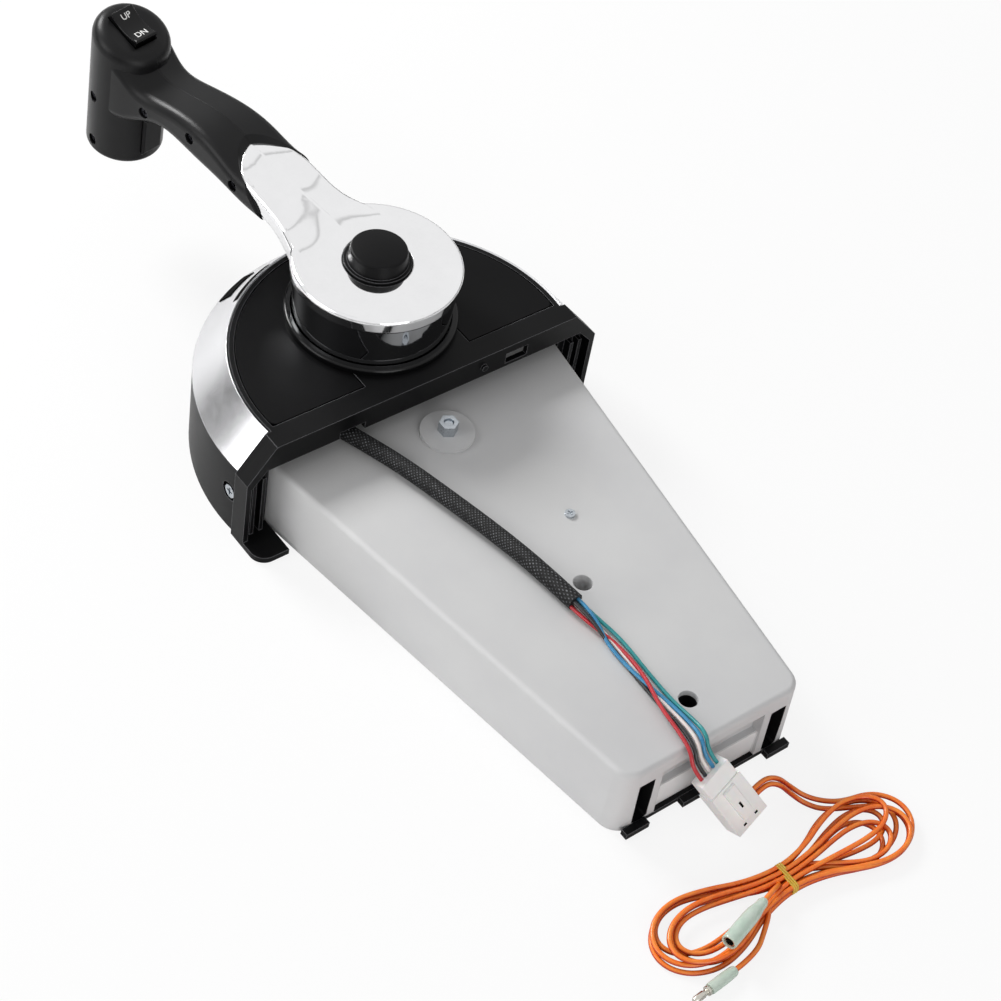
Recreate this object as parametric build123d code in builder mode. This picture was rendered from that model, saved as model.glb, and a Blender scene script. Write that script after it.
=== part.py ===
from build123d import *
import os
from math import acos, asin, cos, degrees, pi, radians, sin, sqrt, tan

os.makedirs("parts", exist_ok=True)

# All lengths are in millimetres and all angles in degrees.
# The control lies on its back: z = 0 is the mounting face, the lever turns about the z axis,
# and +x runs along the tapered housing to the end where the cables leave.

# Clearances that mating pieces share
seat_gap = 0.03
running_gap = 0.05
sliding_gap = 0.3
panel_line = 0.6
cut_overrun = 2.0

# Control housing
housing_height = 36.5
housing_wall = 3.0
housing_reach = 250.2
end_half_width = 47.2
side_angle = 8.3
housing_draft = 1.9
head_centre_x = 28.4
end_corner_radius = 10.0
housing_edge_radius = 2.5
end_wall = 9.0
back_thickness = 2.5
back_tongue = 3.6
foot_height = 3.2
foot_width = 12.0
foot_places = (-38.0, -8.0, 38.0)

# Shaft boss on the housing
boss_radius = 21.0
boss_top = 50.0
boss_depth = 6.0

# Cable windows and the recess between them, in the narrow end
window_width = 8.0
window_height = 25.0
window_offset = 35.0
window_corner_radius = 1.5
recess_half_width = 27.0
recess_height = 27.0
recess_depth = 5.5
gate_height = 14.0
gate_setback = 2.2

# Mounting holes
mount_hole_radius = 4.2
mount_hole_near_x = 159.6
mount_hole_far_x = 229.8
mount_boss_radius = 8.0

# Small screw in the face of the housing
face_screw_x = 126.8
face_screw_y = 18.3
face_screw_head_radius = 2.3
face_screw_head_height = 1.2
face_screw_shank_radius = 1.4
face_screw_length = 8.0

# Bezel
bezel_radius = 92.9
bezel_top = 56.4
bezel_wall = 2.6
bevel_run = 13.9
bevel_drop = 17.2
bar_back_x = 38.0
bar_front_x = 47.3
bar_stand_out = 1.1
bar_skin_bottom = 44.2
wire_notch_y = -41.0
wire_notch_width = 13.0
wire_notch_height = 4.0
bar_slot_y = 47.0
bar_slot_width = 12.0
bar_slot_height = 6.0
leg_rib_count = 2
leg_rib_thickness = 1.8
bar_nub_y = 28.6
bar_nub_radius = 1.6
bar_nub_length = 1.4
foot_flange_reach = 13.0
foot_flange_height = 3.0
foot_flange_corner = 7.0
bezel_shaft_hole_radius = 24.5

# Face plate, trim band and insert
plate_thickness = 1.6
plate_margin = 4.0
plate_front_x = 35.6
plate_corner_radius = 3.0
plate_hole_radius = 37.6
plate_lobe_x = 24.2
plate_lobe_half_width = 28.4
band_thickness = 1.4
insert_start_angle = 197.5
insert_end_angle = 210.0
insert_upper_drop = 9.0
insert_lower_drop = 15.4
insert_clearance = 0.25
insert_proud = 0.4

# Collar round the hub skirt
collar_outer_radius = 39.0
collar_inner_radius = 36.0
collar_height = 3.2
collar_edge_radius = 1.4

# Lever
lever_turn = 11.0
hub_radius = 38.0
hub_top = 87.7
hub_thickness = 7.4
hub_edge_radius = 1.7
hub_boss_radius = 19.0
skirt_top_radius = 36.2
skirt_bottom_radius = 35.4
skirt_wall = 2.4
skirt_bottom = 57.4
button_hole_radius = 15.6
button_hole_depth = 10.7
arm_half_width = 19.0
arm_depth = 13.0
grip_reach = 161.2
arch_reach = 79.0
arch_radius = 18.0
arch_slope = 1.0
arch_level = 98.0
arch_shoulder_reach = 68.0
arch_tip_reach = 66.5
arch_tip_half_width = 22.5
arm_corner_radius = 3.0
tang_half_width = 6.0
tang_height = 8.2
tang_start_reach = 56.0
tang_start_level = 86.2
tang_end_reach = 112.0
tang_end_level = 93.0

# Grip
barrel_radius = 17.8
barrel_lean = 3.0
barrel_bottom = 49.4
barrel_crown = 115.6
crown_slope = 18.0
crown_radius = 6.0
barrel_foot_radius = 2.5
barrel_wall = 4.2
barrel_floor = 3.6
barrel_cavity_top = 100.0
grip_screw_head_radius = 2.2
grip_screw_recess_radius = 2.7
grip_screw_recess_depth = 3.0
grip_screw_shank_radius = 1.3
grip_screw_head_height = 1.6
grip_screw_bite = 6.0
grip_boss_radius = 3.4
grip_corner_radius = 5.0

# Trim rocker
rocker_length = 18.6
rocker_width = 12.4
rocker_rise = 4.2
rocker_dish = 2.4
rocker_depth = 5.2
rocker_end_gap = 0.6
rocker_foot_share = 0.92
rocker_edge_radius = 0.8
rocker_well_depth = 11.0
switch_body_height = 4.2
rocker_pin_radius = 1.2
rocker_pin_depth = 2.6
rocker_pin_seat = 2.0

# Neutral release trigger
trigger_half_width = 5.6
trigger_bottom = 55.0
trigger_height = 20.5
trigger_proud = 0.7
trigger_flange = 1.4
trigger_flange_place = 11.2
trigger_edge_radius = 1.0

# Throttle only button
button_base_radius = 15.1
button_top_radius = 12.6
button_rise = 7.6
button_crown = 1.3
button_shoulder_rise = 1.2
button_shoulder_step = 0.9
button_guide_height = 3.0
button_skirt_wall = 3.6
button_skirt_clearance = 4.6
button_roof = 2.4
button_edge_radius = 1.3
bellows_inner_radius = 7.9
bellows_fold = 2.2
bellows_wall = 1.0
bellows_fold_count = 3

# Lever shaft and its fittings
shaft_radius = 10.0
shaft_bottom = 3.6
shaft_seat_depth = 3.0
hub_screw_radius = 3.2
hub_screw_head_radius = 6.2
hub_screw_head_height = 4.6
hub_screw_socket_radius = 2.8
hub_screw_socket_depth = 2.6
hub_screw_grip = 16.0
shaft_chamfer = 0.8
bush_wall = 3.4
bush_flange = 2.6
bush_flange_thickness = 1.8
lower_bush_height = 6.6
lower_boss_wall = 3.0

# Throttle crank, on the shaft
crank_level = 10.6
crank_thickness = 4.4
crank_throw = 31.0
crank_hub_radius = 15.0
crank_eye_radius = 6.5
cable_pin_radius = 3.0
cable_pin_head_radius = 4.4
cable_pin_head_height = 1.4
cable_pin_length = 11.0

# Shift gears
gear_module = 2.0
pinion_teeth = 18
sector_teeth = 44
pressure_angle = 20.0
tooth_backlash = 0.24
root_clearance_share = 0.25
gear_level = 15.8
gear_thickness = 5.0
sector_tooth_count = 10
sector_rim_width = 8.0
sector_hub_radius = 11.0
sector_arm_reach = 48.0
sector_arm_half_width = 6.0
axle_radius = 5.0
axle_collar_radius = 7.5
axle_collar_height = 3.0
washer_radius = 12.4
washer_thickness = 1.6
nut_across_flats = 7.8
nut_thickness = 5.6
stud_radius = 2.2
stud_inset = 1.0

# Neutral detent and its switch
detent_level = 21.6
detent_thickness = 4.0
detent_radius = 29.0
detent_notch_radius = 4.2
detent_notch_depth = 2.2
detent_side_angle = 32.0
detent_roller_radius = 3.6
leaf_thickness = 0.8
leaf_height = 5.0
leaf_length = 30.0
leaf_post_radius = 2.2
leaf_post_place = 13.0
switch_length = 20.0
switch_depth = 9.0
switch_height = 12.0
switch_plunger_radius = 1.6
switch_gap = 1.2
friction_screw_radius = 2.5
friction_pad_thickness = 3.0
friction_pad_height = 6.0
friction_pad_half_width = 4.0
friction_screw_length = 18.0
friction_head_radius = 4.4
friction_head_height = 3.0
friction_bracket_half_width = 6.0
friction_bracket_start = 36.0
friction_bracket_end = 44.0
friction_bracket_bottom = 18.6
anchor_start_x = 203.0
anchor_length = 16.0
anchor_wall = 3.0
anchor_groove_radius = 4.0
anchor_groove_level = 14.5
anchor_rib = 2.0
anchor_half_width = 7.0

# Screws
bezel_screw_x = 33.0
bezel_screw_z = 22.0
bezel_screw_head_radius = 3.3
bezel_screw_head_height = 2.2
bezel_screw_recess_radius = 4.8
bezel_screw_recess_depth = 2.4
bezel_screw_radius = 2.0
bezel_screw_length = 16.0
bezel_boss_radius = 5.4
back_screw_radius = 1.6
back_screw_head_radius = 3.0
back_screw_head_height = 1.6
back_screw_length = 11.0
back_post_radius = 4.6

# Harness
sleeve_radius = 3.9
wire_radius = 0.85
wire_pitch = 2.4
plug_length = 31.0
plug_width = 17.0
plug_thickness = 9.0
plug_collar = 8.0
plug_roll = 35.0
plug_latch_width = 6.0
plug_latch_height = 1.4
lead_radius = 1.1
lead_pitch = 2.8
lead_outlet = 25.0
wire_end_share = 0.7
hank_thickness = 7.0
tie_thickness = 0.9
tie_width = 3.0
tie_inset = 1.0
female_bullet_radius = 3.4
female_bore_radius = 2.0
female_bore_depth = 12.0
female_bullet_length = 26.0
male_bullet_radius = 2.5
male_bullet_length = 14.0
male_pin_radius = 1.6
male_pin_length = 9.0
male_pin_neck = 0.4

# Where the harness lies; the routes are chosen by eye
sleeve_route = [
    (34.0, -44.0, 40.7),
    (52.0, -37.0, 40.7),
    (73.0, -29.9, 40.7),
    (98.0, -23.8, 40.7),
    (122.0, -18.3, 40.7),
    (146.0, -14.0, 40.7),
    (168.5, -11.8, 40.7),
]
plug_mouth = (258.5, -11.0, 29.4)
plug_tip_direction = (0.513, 0.418, -0.753)
wire_run = 10.0
wire_route = [
    (192.0, -9.5, 37.75),
    (212.0, -10.5, 37.75),
    (228.0, -11.0, 37.9),
    (240.0, -11.3, 39.9),
    (250.3, -12.6, 40.6),
]
lead_run = 6.5
upper_lead_route = [
    (269.2, 20.3, 15.0),
    (272.2, 27.0, 7.0),
    (277.5, 32.0, 2.2),
    (283.5, 37.5, 1.5),
    (289.0, 44.0, 1.5),
    (292.0, 48.5, 1.5),
]
lower_lead_route = [
    (271.8, 19.8, 13.6),
    (275.1, 25.6, 6.0),
    (280.4, 30.4, 1.7),
    (286.6, 35.6, 1.5),
    (291.4, 41.2, 1.5),
]
female_tail_route = [
    (305.4, -7.2, 5.6),
    (306.6, -10.4, 8.0),
    (308.1, -14.8, 10.4),
    (309.6, -20.0, 10.5),
]
male_tail_route = [
    (312.2, -17.6, 2.6),
    (317.0, -24.0, 2.6),
    (323.6, -34.0, 2.6),
    (324.6, -46.0, 2.6),
]
hank_centre = (304.0, -2.0)
hank_half_length = 68.0
hank_waist_half_width = 7.0
hank_lobe_half_width = 18.0
hank_lobe_offset = 44.0
hank_shoulder = 30.0
hank_shoulder_half_width = 15.0

# Worked out from the sizes above
lever_direction = Vector(-cos(radians(lever_turn)), -sin(radians(lever_turn)), 0)
lever_side = Plane((0, 0, 0), x_dir=lever_direction, z_dir=lever_direction.cross(Vector(0, 0, 1)))
lever_top = Plane((0, 0, 0), x_dir=lever_direction, z_dir=(0, 0, 1))
side_sin = sin(radians(side_angle))
side_cos = cos(radians(side_angle))
head_radius = side_cos * (end_half_width + (housing_reach - head_centre_x) * tan(radians(side_angle)))
inner_top = housing_height - housing_wall
face_inset = housing_height * tan(radians(housing_draft))
hub_bottom = hub_top - hub_thickness
button_floor = hub_top - button_hole_depth
lever_near = Vector(0, 0, 1).cross(lever_direction)
pinion_radius = gear_module * pinion_teeth / 2
sector_radius = gear_module * sector_teeth / 2
axle_x = pinion_radius + sector_radius
detent_roller_x = -(detent_radius + detent_roller_radius + sliding_gap)
leaf_front_x = detent_roller_x - detent_roller_radius - seat_gap
leaf_post_x = leaf_front_x - leaf_thickness - leaf_post_radius - seat_gap
friction_level = detent_level + detent_thickness / 2


def half_width_at(x):
    """Half the housing's width at its back, at this distance from the lever's axis."""
    return end_half_width + (housing_reach - x) * tan(radians(side_angle))


def finish(builder, name, colour):
    builder.part.label = name
    builder.part.color = Color(*colour)
    export_step(builder.part, f"parts/{name}.step")


black = (0.06, 0.06, 0.07)
grey = (0.62, 0.62, 0.62)
steel = (0.72, 0.73, 0.75)
bright = (0.85, 0.86, 0.88)
orange = (0.9, 0.28, 0.08)


# Control housing: a tapered shell with a round head, open at its back
def housing_outline(inset):
    """The plan outline of the housing, taken in by the inset."""
    radius = head_radius - inset
    shoulder_x = head_centre_x + radius * side_sin
    end_y = (radius - (housing_reach - inset - head_centre_x) * side_sin) / side_cos
    with BuildLine() as outline:
        Polyline(
            (shoulder_x, -radius * side_cos),
            (housing_reach - inset, -end_y),
            (housing_reach - inset, end_y),
            (shoulder_x, radius * side_cos),
        )
        ThreePointArc(
            (shoulder_x, radius * side_cos),
            (head_centre_x - radius, 0),
            (shoulder_x, -radius * side_cos),
        )
    return outline.line


inner_end_x = housing_reach - end_wall
mount_xs = (mount_hole_near_x, mount_hole_far_x)
back_post_places = [
    (head_centre_x - head_radius + housing_wall + back_post_radius, 0),
    (mount_hole_near_x, half_width_at(mount_hole_near_x) - housing_wall - 2 * back_post_radius),
    (mount_hole_near_x, -half_width_at(mount_hole_near_x) + housing_wall + 2 * back_post_radius),
]

with BuildPart() as control_housing:
    with BuildSketch():
        make_face(housing_outline(0))
        fillet(vertices().sort_by(Axis.X)[-2:], radius=end_corner_radius)
    extrude(amount=housing_height, taper=housing_draft)
    fillet(faces().sort_by(Axis.Z)[-1].edges(), radius=housing_edge_radius)
    with BuildSketch():
        make_face(housing_outline(housing_wall))
        with Locations((inner_end_x, 0)):
            Rectangle(
                end_wall + cut_overrun,
                2 * end_half_width,
                align=(Align.MIN, Align.CENTER),
                mode=Mode.SUBTRACT,
            )
    extrude(amount=inner_top, taper=housing_draft, mode=Mode.SUBTRACT)
    # Boss for the shaft below the face; its tower stands on the face
    with BuildSketch(Plane.XY.offset(inner_top - boss_depth)):
        Circle(boss_radius)
    extrude(amount=boss_depth)
    # Hollow bosses behind the two mounting holes
    with BuildSketch(Plane.XY.offset(back_thickness)):
        with Locations([(x, 0) for x in mount_xs]):
            Circle(mount_boss_radius)
        with Locations(back_post_places):
            Circle(back_post_radius)
    extrude(amount=inner_top - back_thickness)
    # Ribs that stiffen the face between the mounting holes and the side walls
    with BuildSketch(Plane.XY.offset(inner_top - boss_depth)):
        for x in mount_xs:
            with Locations((x, 0)):
                Rectangle(housing_wall, 2 * half_width_at(x) - housing_wall - 2 * face_inset)
    extrude(amount=boss_depth)
    # Posts behind the leaf spring and the bracket of the friction screw
    with BuildSketch(Plane.XY.offset(detent_level)):
        with Locations((leaf_post_x, leaf_post_place), (leaf_post_x, -leaf_post_place)):
            Circle(leaf_post_radius)
    extrude(amount=inner_top - detent_level)
    with BuildSketch(Plane.XY.offset(friction_bracket_bottom)):
        with Locations((0, -(friction_bracket_start + friction_bracket_end) / 2)):
            Rectangle(2 * friction_bracket_half_width, friction_bracket_end - friction_bracket_start)
    extrude(amount=inner_top - friction_bracket_bottom)
    with BuildSketch(Plane.XZ.offset(friction_bracket_start - cut_overrun)):
        with Locations((0, friction_level)):
            Circle(friction_screw_radius + seat_gap)
    extrude(amount=friction_bracket_end - friction_bracket_start + 2 * cut_overrun, mode=Mode.SUBTRACT)
    with BuildSketch(Plane.XY):
        with Locations([(x, 0) for x in mount_xs]):
            Circle(mount_hole_radius)
    extrude(amount=housing_height, mode=Mode.SUBTRACT)
    with BuildSketch(Plane.XY):
        with Locations(back_post_places):
            Circle(back_screw_radius + running_gap)
    extrude(amount=back_screw_length + running_gap, mode=Mode.SUBTRACT)
    # Bore for the upper bush and the hole for the axle of the shift sector
    with BuildSketch(Plane.XY.offset(inner_top - boss_depth)):
        Circle(shaft_radius + bush_wall + seat_gap)
    extrude(amount=housing_height - inner_top + boss_depth, mode=Mode.SUBTRACT)
    with BuildSketch(Plane.XY.offset(inner_top - boss_depth)):
        with Locations((axle_x, 0)):
            Circle(stud_radius + seat_gap)
    extrude(amount=housing_height, mode=Mode.SUBTRACT)
    with BuildSketch(Plane.XY.offset(housing_height)):
        with Locations((face_screw_x, face_screw_y)):
            Circle(face_screw_shank_radius + seat_gap)
    extrude(amount=-housing_wall, mode=Mode.SUBTRACT)
    # Cable windows right through the end wall
    with BuildSketch(Plane.YZ.offset(inner_end_x - cut_overrun)):
        for side in (-1, 1):
            with Locations((side * window_offset, back_thickness + window_height / 2)):
                RectangleRounded(window_width, window_height, window_corner_radius)
    extrude(amount=end_wall + 2 * cut_overrun, mode=Mode.SUBTRACT)
    # Recess between the windows, with a plain gate standing in its lower half
    with BuildSketch(Plane.YZ.offset(housing_reach + cut_overrun)):
        with Locations((0, back_thickness)):
            Rectangle(2 * recess_half_width, recess_height, align=(Align.CENTER, Align.MIN))
    extrude(amount=-recess_depth - cut_overrun, mode=Mode.SUBTRACT)
    with BuildSketch(Plane.YZ.offset(housing_reach - recess_depth)):
        with Locations((0, back_thickness)):
            Rectangle(2 * recess_half_width, gate_height, align=(Align.CENTER, Align.MIN))
    extrude(amount=recess_depth - gate_setback)
    # Slot for the tongue of the back plate
    with BuildSketch(Plane.XY):
        with Locations((inner_end_x - cut_overrun, 0)):
            Rectangle(
                end_wall + 2 * cut_overrun,
                2 * (window_offset + window_width / 2),
                align=(Align.MIN, Align.CENTER),
            )
    extrude(amount=back_thickness, mode=Mode.SUBTRACT)
    # Holes for the two screws that hold the bezel
    with BuildSketch(Plane.XZ):
        with Locations((bezel_screw_x, bezel_screw_z)):
            Circle(bezel_screw_radius + seat_gap)
    extrude(amount=head_radius + cut_overrun, both=True, mode=Mode.SUBTRACT)
finish(control_housing, "control_housing", grey)

with BuildPart() as shaft_tower:
    with BuildSketch(Plane.XY.offset(housing_height)):
        Circle(boss_radius)
        Circle(shaft_radius + bush_wall + seat_gap, mode=Mode.SUBTRACT)
    extrude(amount=boss_top - housing_height)
finish(shaft_tower, "shaft_tower", grey)


# Back plate: closes the housing, with a tongue under the end wall and a ring for the lower bush
lower_boss_radius = shaft_radius + bush_wall + lower_boss_wall
tongue_half_width = window_offset + window_width / 2 - sliding_gap
tongue_start_x = inner_end_x - sliding_gap

with BuildPart() as back_plate:
    with BuildSketch():
        make_face(housing_outline(housing_wall + sliding_gap))
        with Locations((tongue_start_x, 0)):
            Rectangle(
                2 * end_wall,
                2 * end_half_width,
                align=(Align.MIN, Align.CENTER),
                mode=Mode.SUBTRACT,
            )
            Rectangle(
                housing_reach - tongue_start_x,
                2 * tongue_half_width,
                align=(Align.MIN, Align.CENTER),
            )
    extrude(amount=back_thickness - running_gap)
    with BuildSketch():
        with Locations([(housing_reach + running_gap, y) for y in foot_places]):
            Rectangle(back_tongue, foot_width, align=(Align.MIN, Align.CENTER))
    extrude(amount=foot_height)
    with BuildSketch():
        with Locations((housing_reach, 0)):
            Rectangle(
                2 * running_gap,
                2 * tongue_half_width,
                align=(Align.MIN, Align.CENTER),
            )
        Circle(lower_boss_radius)
    extrude(amount=back_thickness - running_gap)
    with BuildSketch(Plane.XY.offset(back_thickness - running_gap)):
        Circle(lower_boss_radius)
        Circle(shaft_radius + bush_wall + seat_gap, mode=Mode.SUBTRACT)
    extrude(amount=lower_bush_height)
    with BuildSketch():
        with Locations([(x, 0) for x in mount_xs]):
            Circle(mount_hole_radius)
    extrude(amount=back_thickness, mode=Mode.SUBTRACT)
    with BuildSketch():
        with Locations(back_post_places):
            Circle(back_screw_radius + running_gap)
    extrude(amount=back_thickness, mode=Mode.SUBTRACT)
    with BuildSketch():
        with Locations(back_post_places):
            Circle(back_screw_head_radius + running_gap)
    extrude(amount=back_screw_head_height, mode=Mode.SUBTRACT)
finish(back_plate, "back_plate", black)

with BuildPart() as back_plate_screws:
    with BuildSketch():
        with Locations(back_post_places):
            Circle(back_screw_head_radius)
    extrude(amount=back_screw_head_height - seat_gap)
    with BuildSketch():
        with Locations(back_post_places):
            Circle(back_screw_radius)
    extrude(amount=back_screw_length)
    with BuildSketch():
        with Locations(back_post_places):
            Rectangle(2 * back_screw_radius, back_screw_radius / 2)
            Rectangle(back_screw_radius / 2, 2 * back_screw_radius)
    extrude(amount=back_screw_head_height / 2, mode=Mode.SUBTRACT)
finish(back_plate_screws, "back_plate_screws", steel)

# Bezel: a half-round hood with a bevelled edge and a bar across its front
bevel_length = sqrt(bevel_run**2 + bevel_drop**2)
bevel_out = bevel_drop / bevel_length
bevel_up = bevel_run / bevel_length
skirt_top = bezel_top - bevel_drop
top_radius = bezel_radius - bevel_run
hood_axis = Axis((head_centre_x, 0, 0), (0, 0, 1))
hood_ceiling = bezel_top - bezel_wall - plate_thickness
hood_skin = bezel_wall + band_thickness
skin_knee_z = skirt_top + (bevel_out * bezel_wall - hood_skin) / bevel_up
skin_top_radius = bezel_radius - (hood_skin + bevel_up * (hood_ceiling - skirt_top)) / bevel_out
bar_half_width = bezel_radius + bar_stand_out
bar_depth = bar_front_x - bar_back_x
bar_skin_half_width = bar_half_width - (bar_skin_bottom - skirt_top) * bevel_run / bevel_drop


def hood_plane(angle):
    """The upright plane through the hood's axis, at this angle from the x axis."""
    turn = radians(angle)
    return Plane(
        (head_centre_x, 0, 0),
        x_dir=(cos(turn), sin(turn), 0),
        z_dir=(sin(turn), -cos(turn), 0),
    )


def bevel_point(drop, offset):
    """A point of the bevel's section, this far below the bezel's top and off its surface."""
    return (
        top_radius + drop * bevel_run / bevel_drop + offset * bevel_out,
        bezel_top - drop + offset * bevel_up,
    )


with BuildPart() as bezel_cover:
    with BuildSketch(hood_plane(0)):
        with BuildLine():
            Polyline(
                (0, 0),
                (bezel_radius, 0),
                (bezel_radius, skirt_top),
                bevel_point(bevel_drop, -band_thickness),
                bevel_point(0, -band_thickness),
                (bevel_point(0, -band_thickness)[0], bezel_top),
                (0, bezel_top),
                close=True,
            )
        make_face()
    revolve(axis=hood_axis)
    with BuildSketch():
        with Locations((bar_back_x, 0)):
            Rectangle(2 * bezel_radius, 3 * bezel_radius, align=(Align.MIN, Align.CENTER))
    extrude(amount=bezel_top + cut_overrun, mode=Mode.SUBTRACT)
    # The bar, with the same bevel at both ends
    with BuildSketch(Plane.YZ.offset(bar_back_x)):
        with BuildLine():
            Polyline(
                (-bar_half_width, 0),
                (-bar_half_width, skirt_top),
                (bevel_run - bar_half_width, bezel_top),
                (bar_half_width - bevel_run, bezel_top),
                (bar_half_width, skirt_top),
                (bar_half_width, 0),
                close=True,
            )
        make_face()
    extrude(amount=bar_depth)
    # Hollow of the hood, open below and in front under the skin of the bar
    with BuildSketch(hood_plane(0)):
        with BuildLine():
            Polyline(
                (0, 0),
                (bezel_radius - bezel_wall, 0),
                (bezel_radius - bezel_wall, skin_knee_z),
                (skin_top_radius, hood_ceiling),
                (0, hood_ceiling),
                close=True,
            )
        make_face()
    revolve(axis=hood_axis, mode=Mode.SUBTRACT)
    with BuildSketch(Plane.YZ.offset(bar_back_x)):
        with BuildLine():
            Polyline(
                (bezel_wall - bar_half_width, 0),
                (bezel_wall - bar_half_width, skin_knee_z),
                (-skin_top_radius, hood_ceiling),
                (skin_top_radius, hood_ceiling),
                (bar_half_width - bezel_wall, skin_knee_z),
                (bar_half_width - bezel_wall, 0),
                close=True,
            )
        make_face()
    extrude(amount=bar_depth + cut_overrun, mode=Mode.SUBTRACT)
    with BuildSketch(Plane.YZ.offset(bar_front_x - bezel_wall)):
        with BuildLine():
            Polyline(
                (-bar_skin_half_width, bar_skin_bottom),
                (bar_skin_half_width, bar_skin_bottom),
                (bar_half_width - bevel_run, bezel_top),
                (bevel_run - bar_half_width, bezel_top),
                close=True,
            )
        make_face()
    extrude(amount=bezel_wall)
    # Notch for the harness, a slot in the front skin and a nub beside it
    with BuildSketch(Plane.YZ.offset(bar_front_x - bezel_wall)):
        with Locations((wire_notch_y, bar_skin_bottom)):
            Rectangle(wire_notch_width, 2 * wire_notch_height)
        with Locations((bar_slot_y, hood_ceiling - bar_slot_height / 2)):
            Rectangle(bar_slot_width, bar_slot_height)
    extrude(amount=bezel_wall, mode=Mode.SUBTRACT)
    with BuildSketch(Plane.YZ.offset(bar_front_x)):
        with Locations((bar_nub_y, (bar_skin_bottom + bezel_top) / 2)):
            Circle(bar_nub_radius)
    extrude(amount=bar_nub_length)
    # Legs beside the housing: a web behind, ribs in front and a flat foot
    leg_inner_y = half_width_at(bar_back_x) + sliding_gap
    leg_outer_y = bar_half_width - bezel_wall / 2
    for side in (-1, 1):
        outward = Align.MIN if side > 0 else Align.MAX
        with BuildSketch():
            with Locations((bar_back_x, side * leg_inner_y)):
                Rectangle(bezel_wall, leg_outer_y - leg_inner_y, align=(Align.MIN, outward))
            for rib in range(leg_rib_count):
                rib_share = (rib + 1) / (leg_rib_count + 1)
                with Locations((bar_back_x, side * (leg_inner_y + (leg_outer_y - leg_inner_y) * rib_share))):
                    Rectangle(
                        bar_depth - bezel_wall,
                        leg_rib_thickness,
                        align=(Align.MIN, Align.CENTER),
                    )
        extrude(amount=skin_knee_z)
        with BuildSketch():
            with Locations((bar_back_x, side * leg_inner_y)):
                Rectangle(
                    bar_depth + foot_flange_reach,
                    bar_half_width - leg_inner_y,
                    align=(Align.MIN, outward),
                )
            front_corners = vertices().group_by(Axis.X)[-1].sort_by(Axis.Y)
            fillet(front_corners[-1 if side > 0 else 0], radius=foot_flange_corner)
        extrude(amount=foot_flange_height)
    # Bosses for the side screws
    for side in (-1, 1):
        boss_inner_y = half_width_at(bezel_screw_x) + sliding_gap
        with BuildSketch(Plane.XZ.offset(-side * boss_inner_y)):
            with Locations((bezel_screw_x, bezel_screw_z)):
                Circle(bezel_boss_radius)
        extrude(amount=-side * (bezel_radius - bezel_wall / 2 - boss_inner_y))
        with BuildSketch(Plane.XZ.offset(-side * boss_inner_y)):
            with Locations((bezel_screw_x, bezel_screw_z)):
                Circle(bezel_screw_radius + seat_gap)
        extrude(amount=-side * (bezel_radius - boss_inner_y), mode=Mode.SUBTRACT)
        with BuildSketch(Plane.XZ.offset(-side * (bezel_radius - bezel_screw_recess_depth))):
            with Locations((bezel_screw_x, bezel_screw_z)):
                Circle(bezel_screw_recess_radius)
        extrude(amount=-side * (bezel_screw_recess_depth + cut_overrun), mode=Mode.SUBTRACT)
    # Recess for the face plate and the hole over the shaft boss
    with BuildSketch(Plane.XY.offset(bezel_top - plate_thickness)):
        with Locations((head_centre_x, 0)):
            Circle(top_radius - plate_margin + panel_line)
        with Locations((plate_front_x + panel_line, 0)):
            Rectangle(
                2 * top_radius,
                2 * top_radius,
                align=(Align.MIN, Align.CENTER),
                mode=Mode.SUBTRACT,
            )
        with Locations((plate_lobe_x + panel_line, 0)):
            Rectangle(
                2 * top_radius,
                2 * (plate_lobe_half_width - panel_line),
                align=(Align.MIN, Align.CENTER),
                mode=Mode.SUBTRACT,
            )
    extrude(amount=plate_thickness + cut_overrun, mode=Mode.SUBTRACT)
    with BuildSketch(Plane.XY.offset(hood_ceiling)):
        Circle(bezel_shaft_hole_radius)
    extrude(amount=bezel_wall + plate_thickness, mode=Mode.SUBTRACT)
finish(bezel_cover, "bezel_cover", black)

with BuildPart() as face_plate:
    with BuildSketch(Plane.XY.offset(bezel_top - plate_thickness)):
        with Locations((head_centre_x, 0)):
            Circle(top_radius - plate_margin)
        with Locations((plate_front_x, 0)):
            Rectangle(
                2 * top_radius,
                2 * top_radius,
                align=(Align.MIN, Align.CENTER),
                mode=Mode.SUBTRACT,
            )
        fillet(vertices(), radius=plate_corner_radius)
        with Locations((plate_lobe_x, 0)):
            Rectangle(
                2 * top_radius,
                2 * plate_lobe_half_width,
                align=(Align.MIN, Align.CENTER),
                mode=Mode.SUBTRACT,
            )
        Circle(plate_hole_radius, mode=Mode.SUBTRACT)
    extrude(amount=plate_thickness)
finish(face_plate, "face_plate", black)

# Trim band on the bevel, with a dark insert in a slot of its own
insert_span = insert_end_angle - insert_start_angle
insert_slack = degrees(insert_clearance / bezel_radius)

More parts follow.
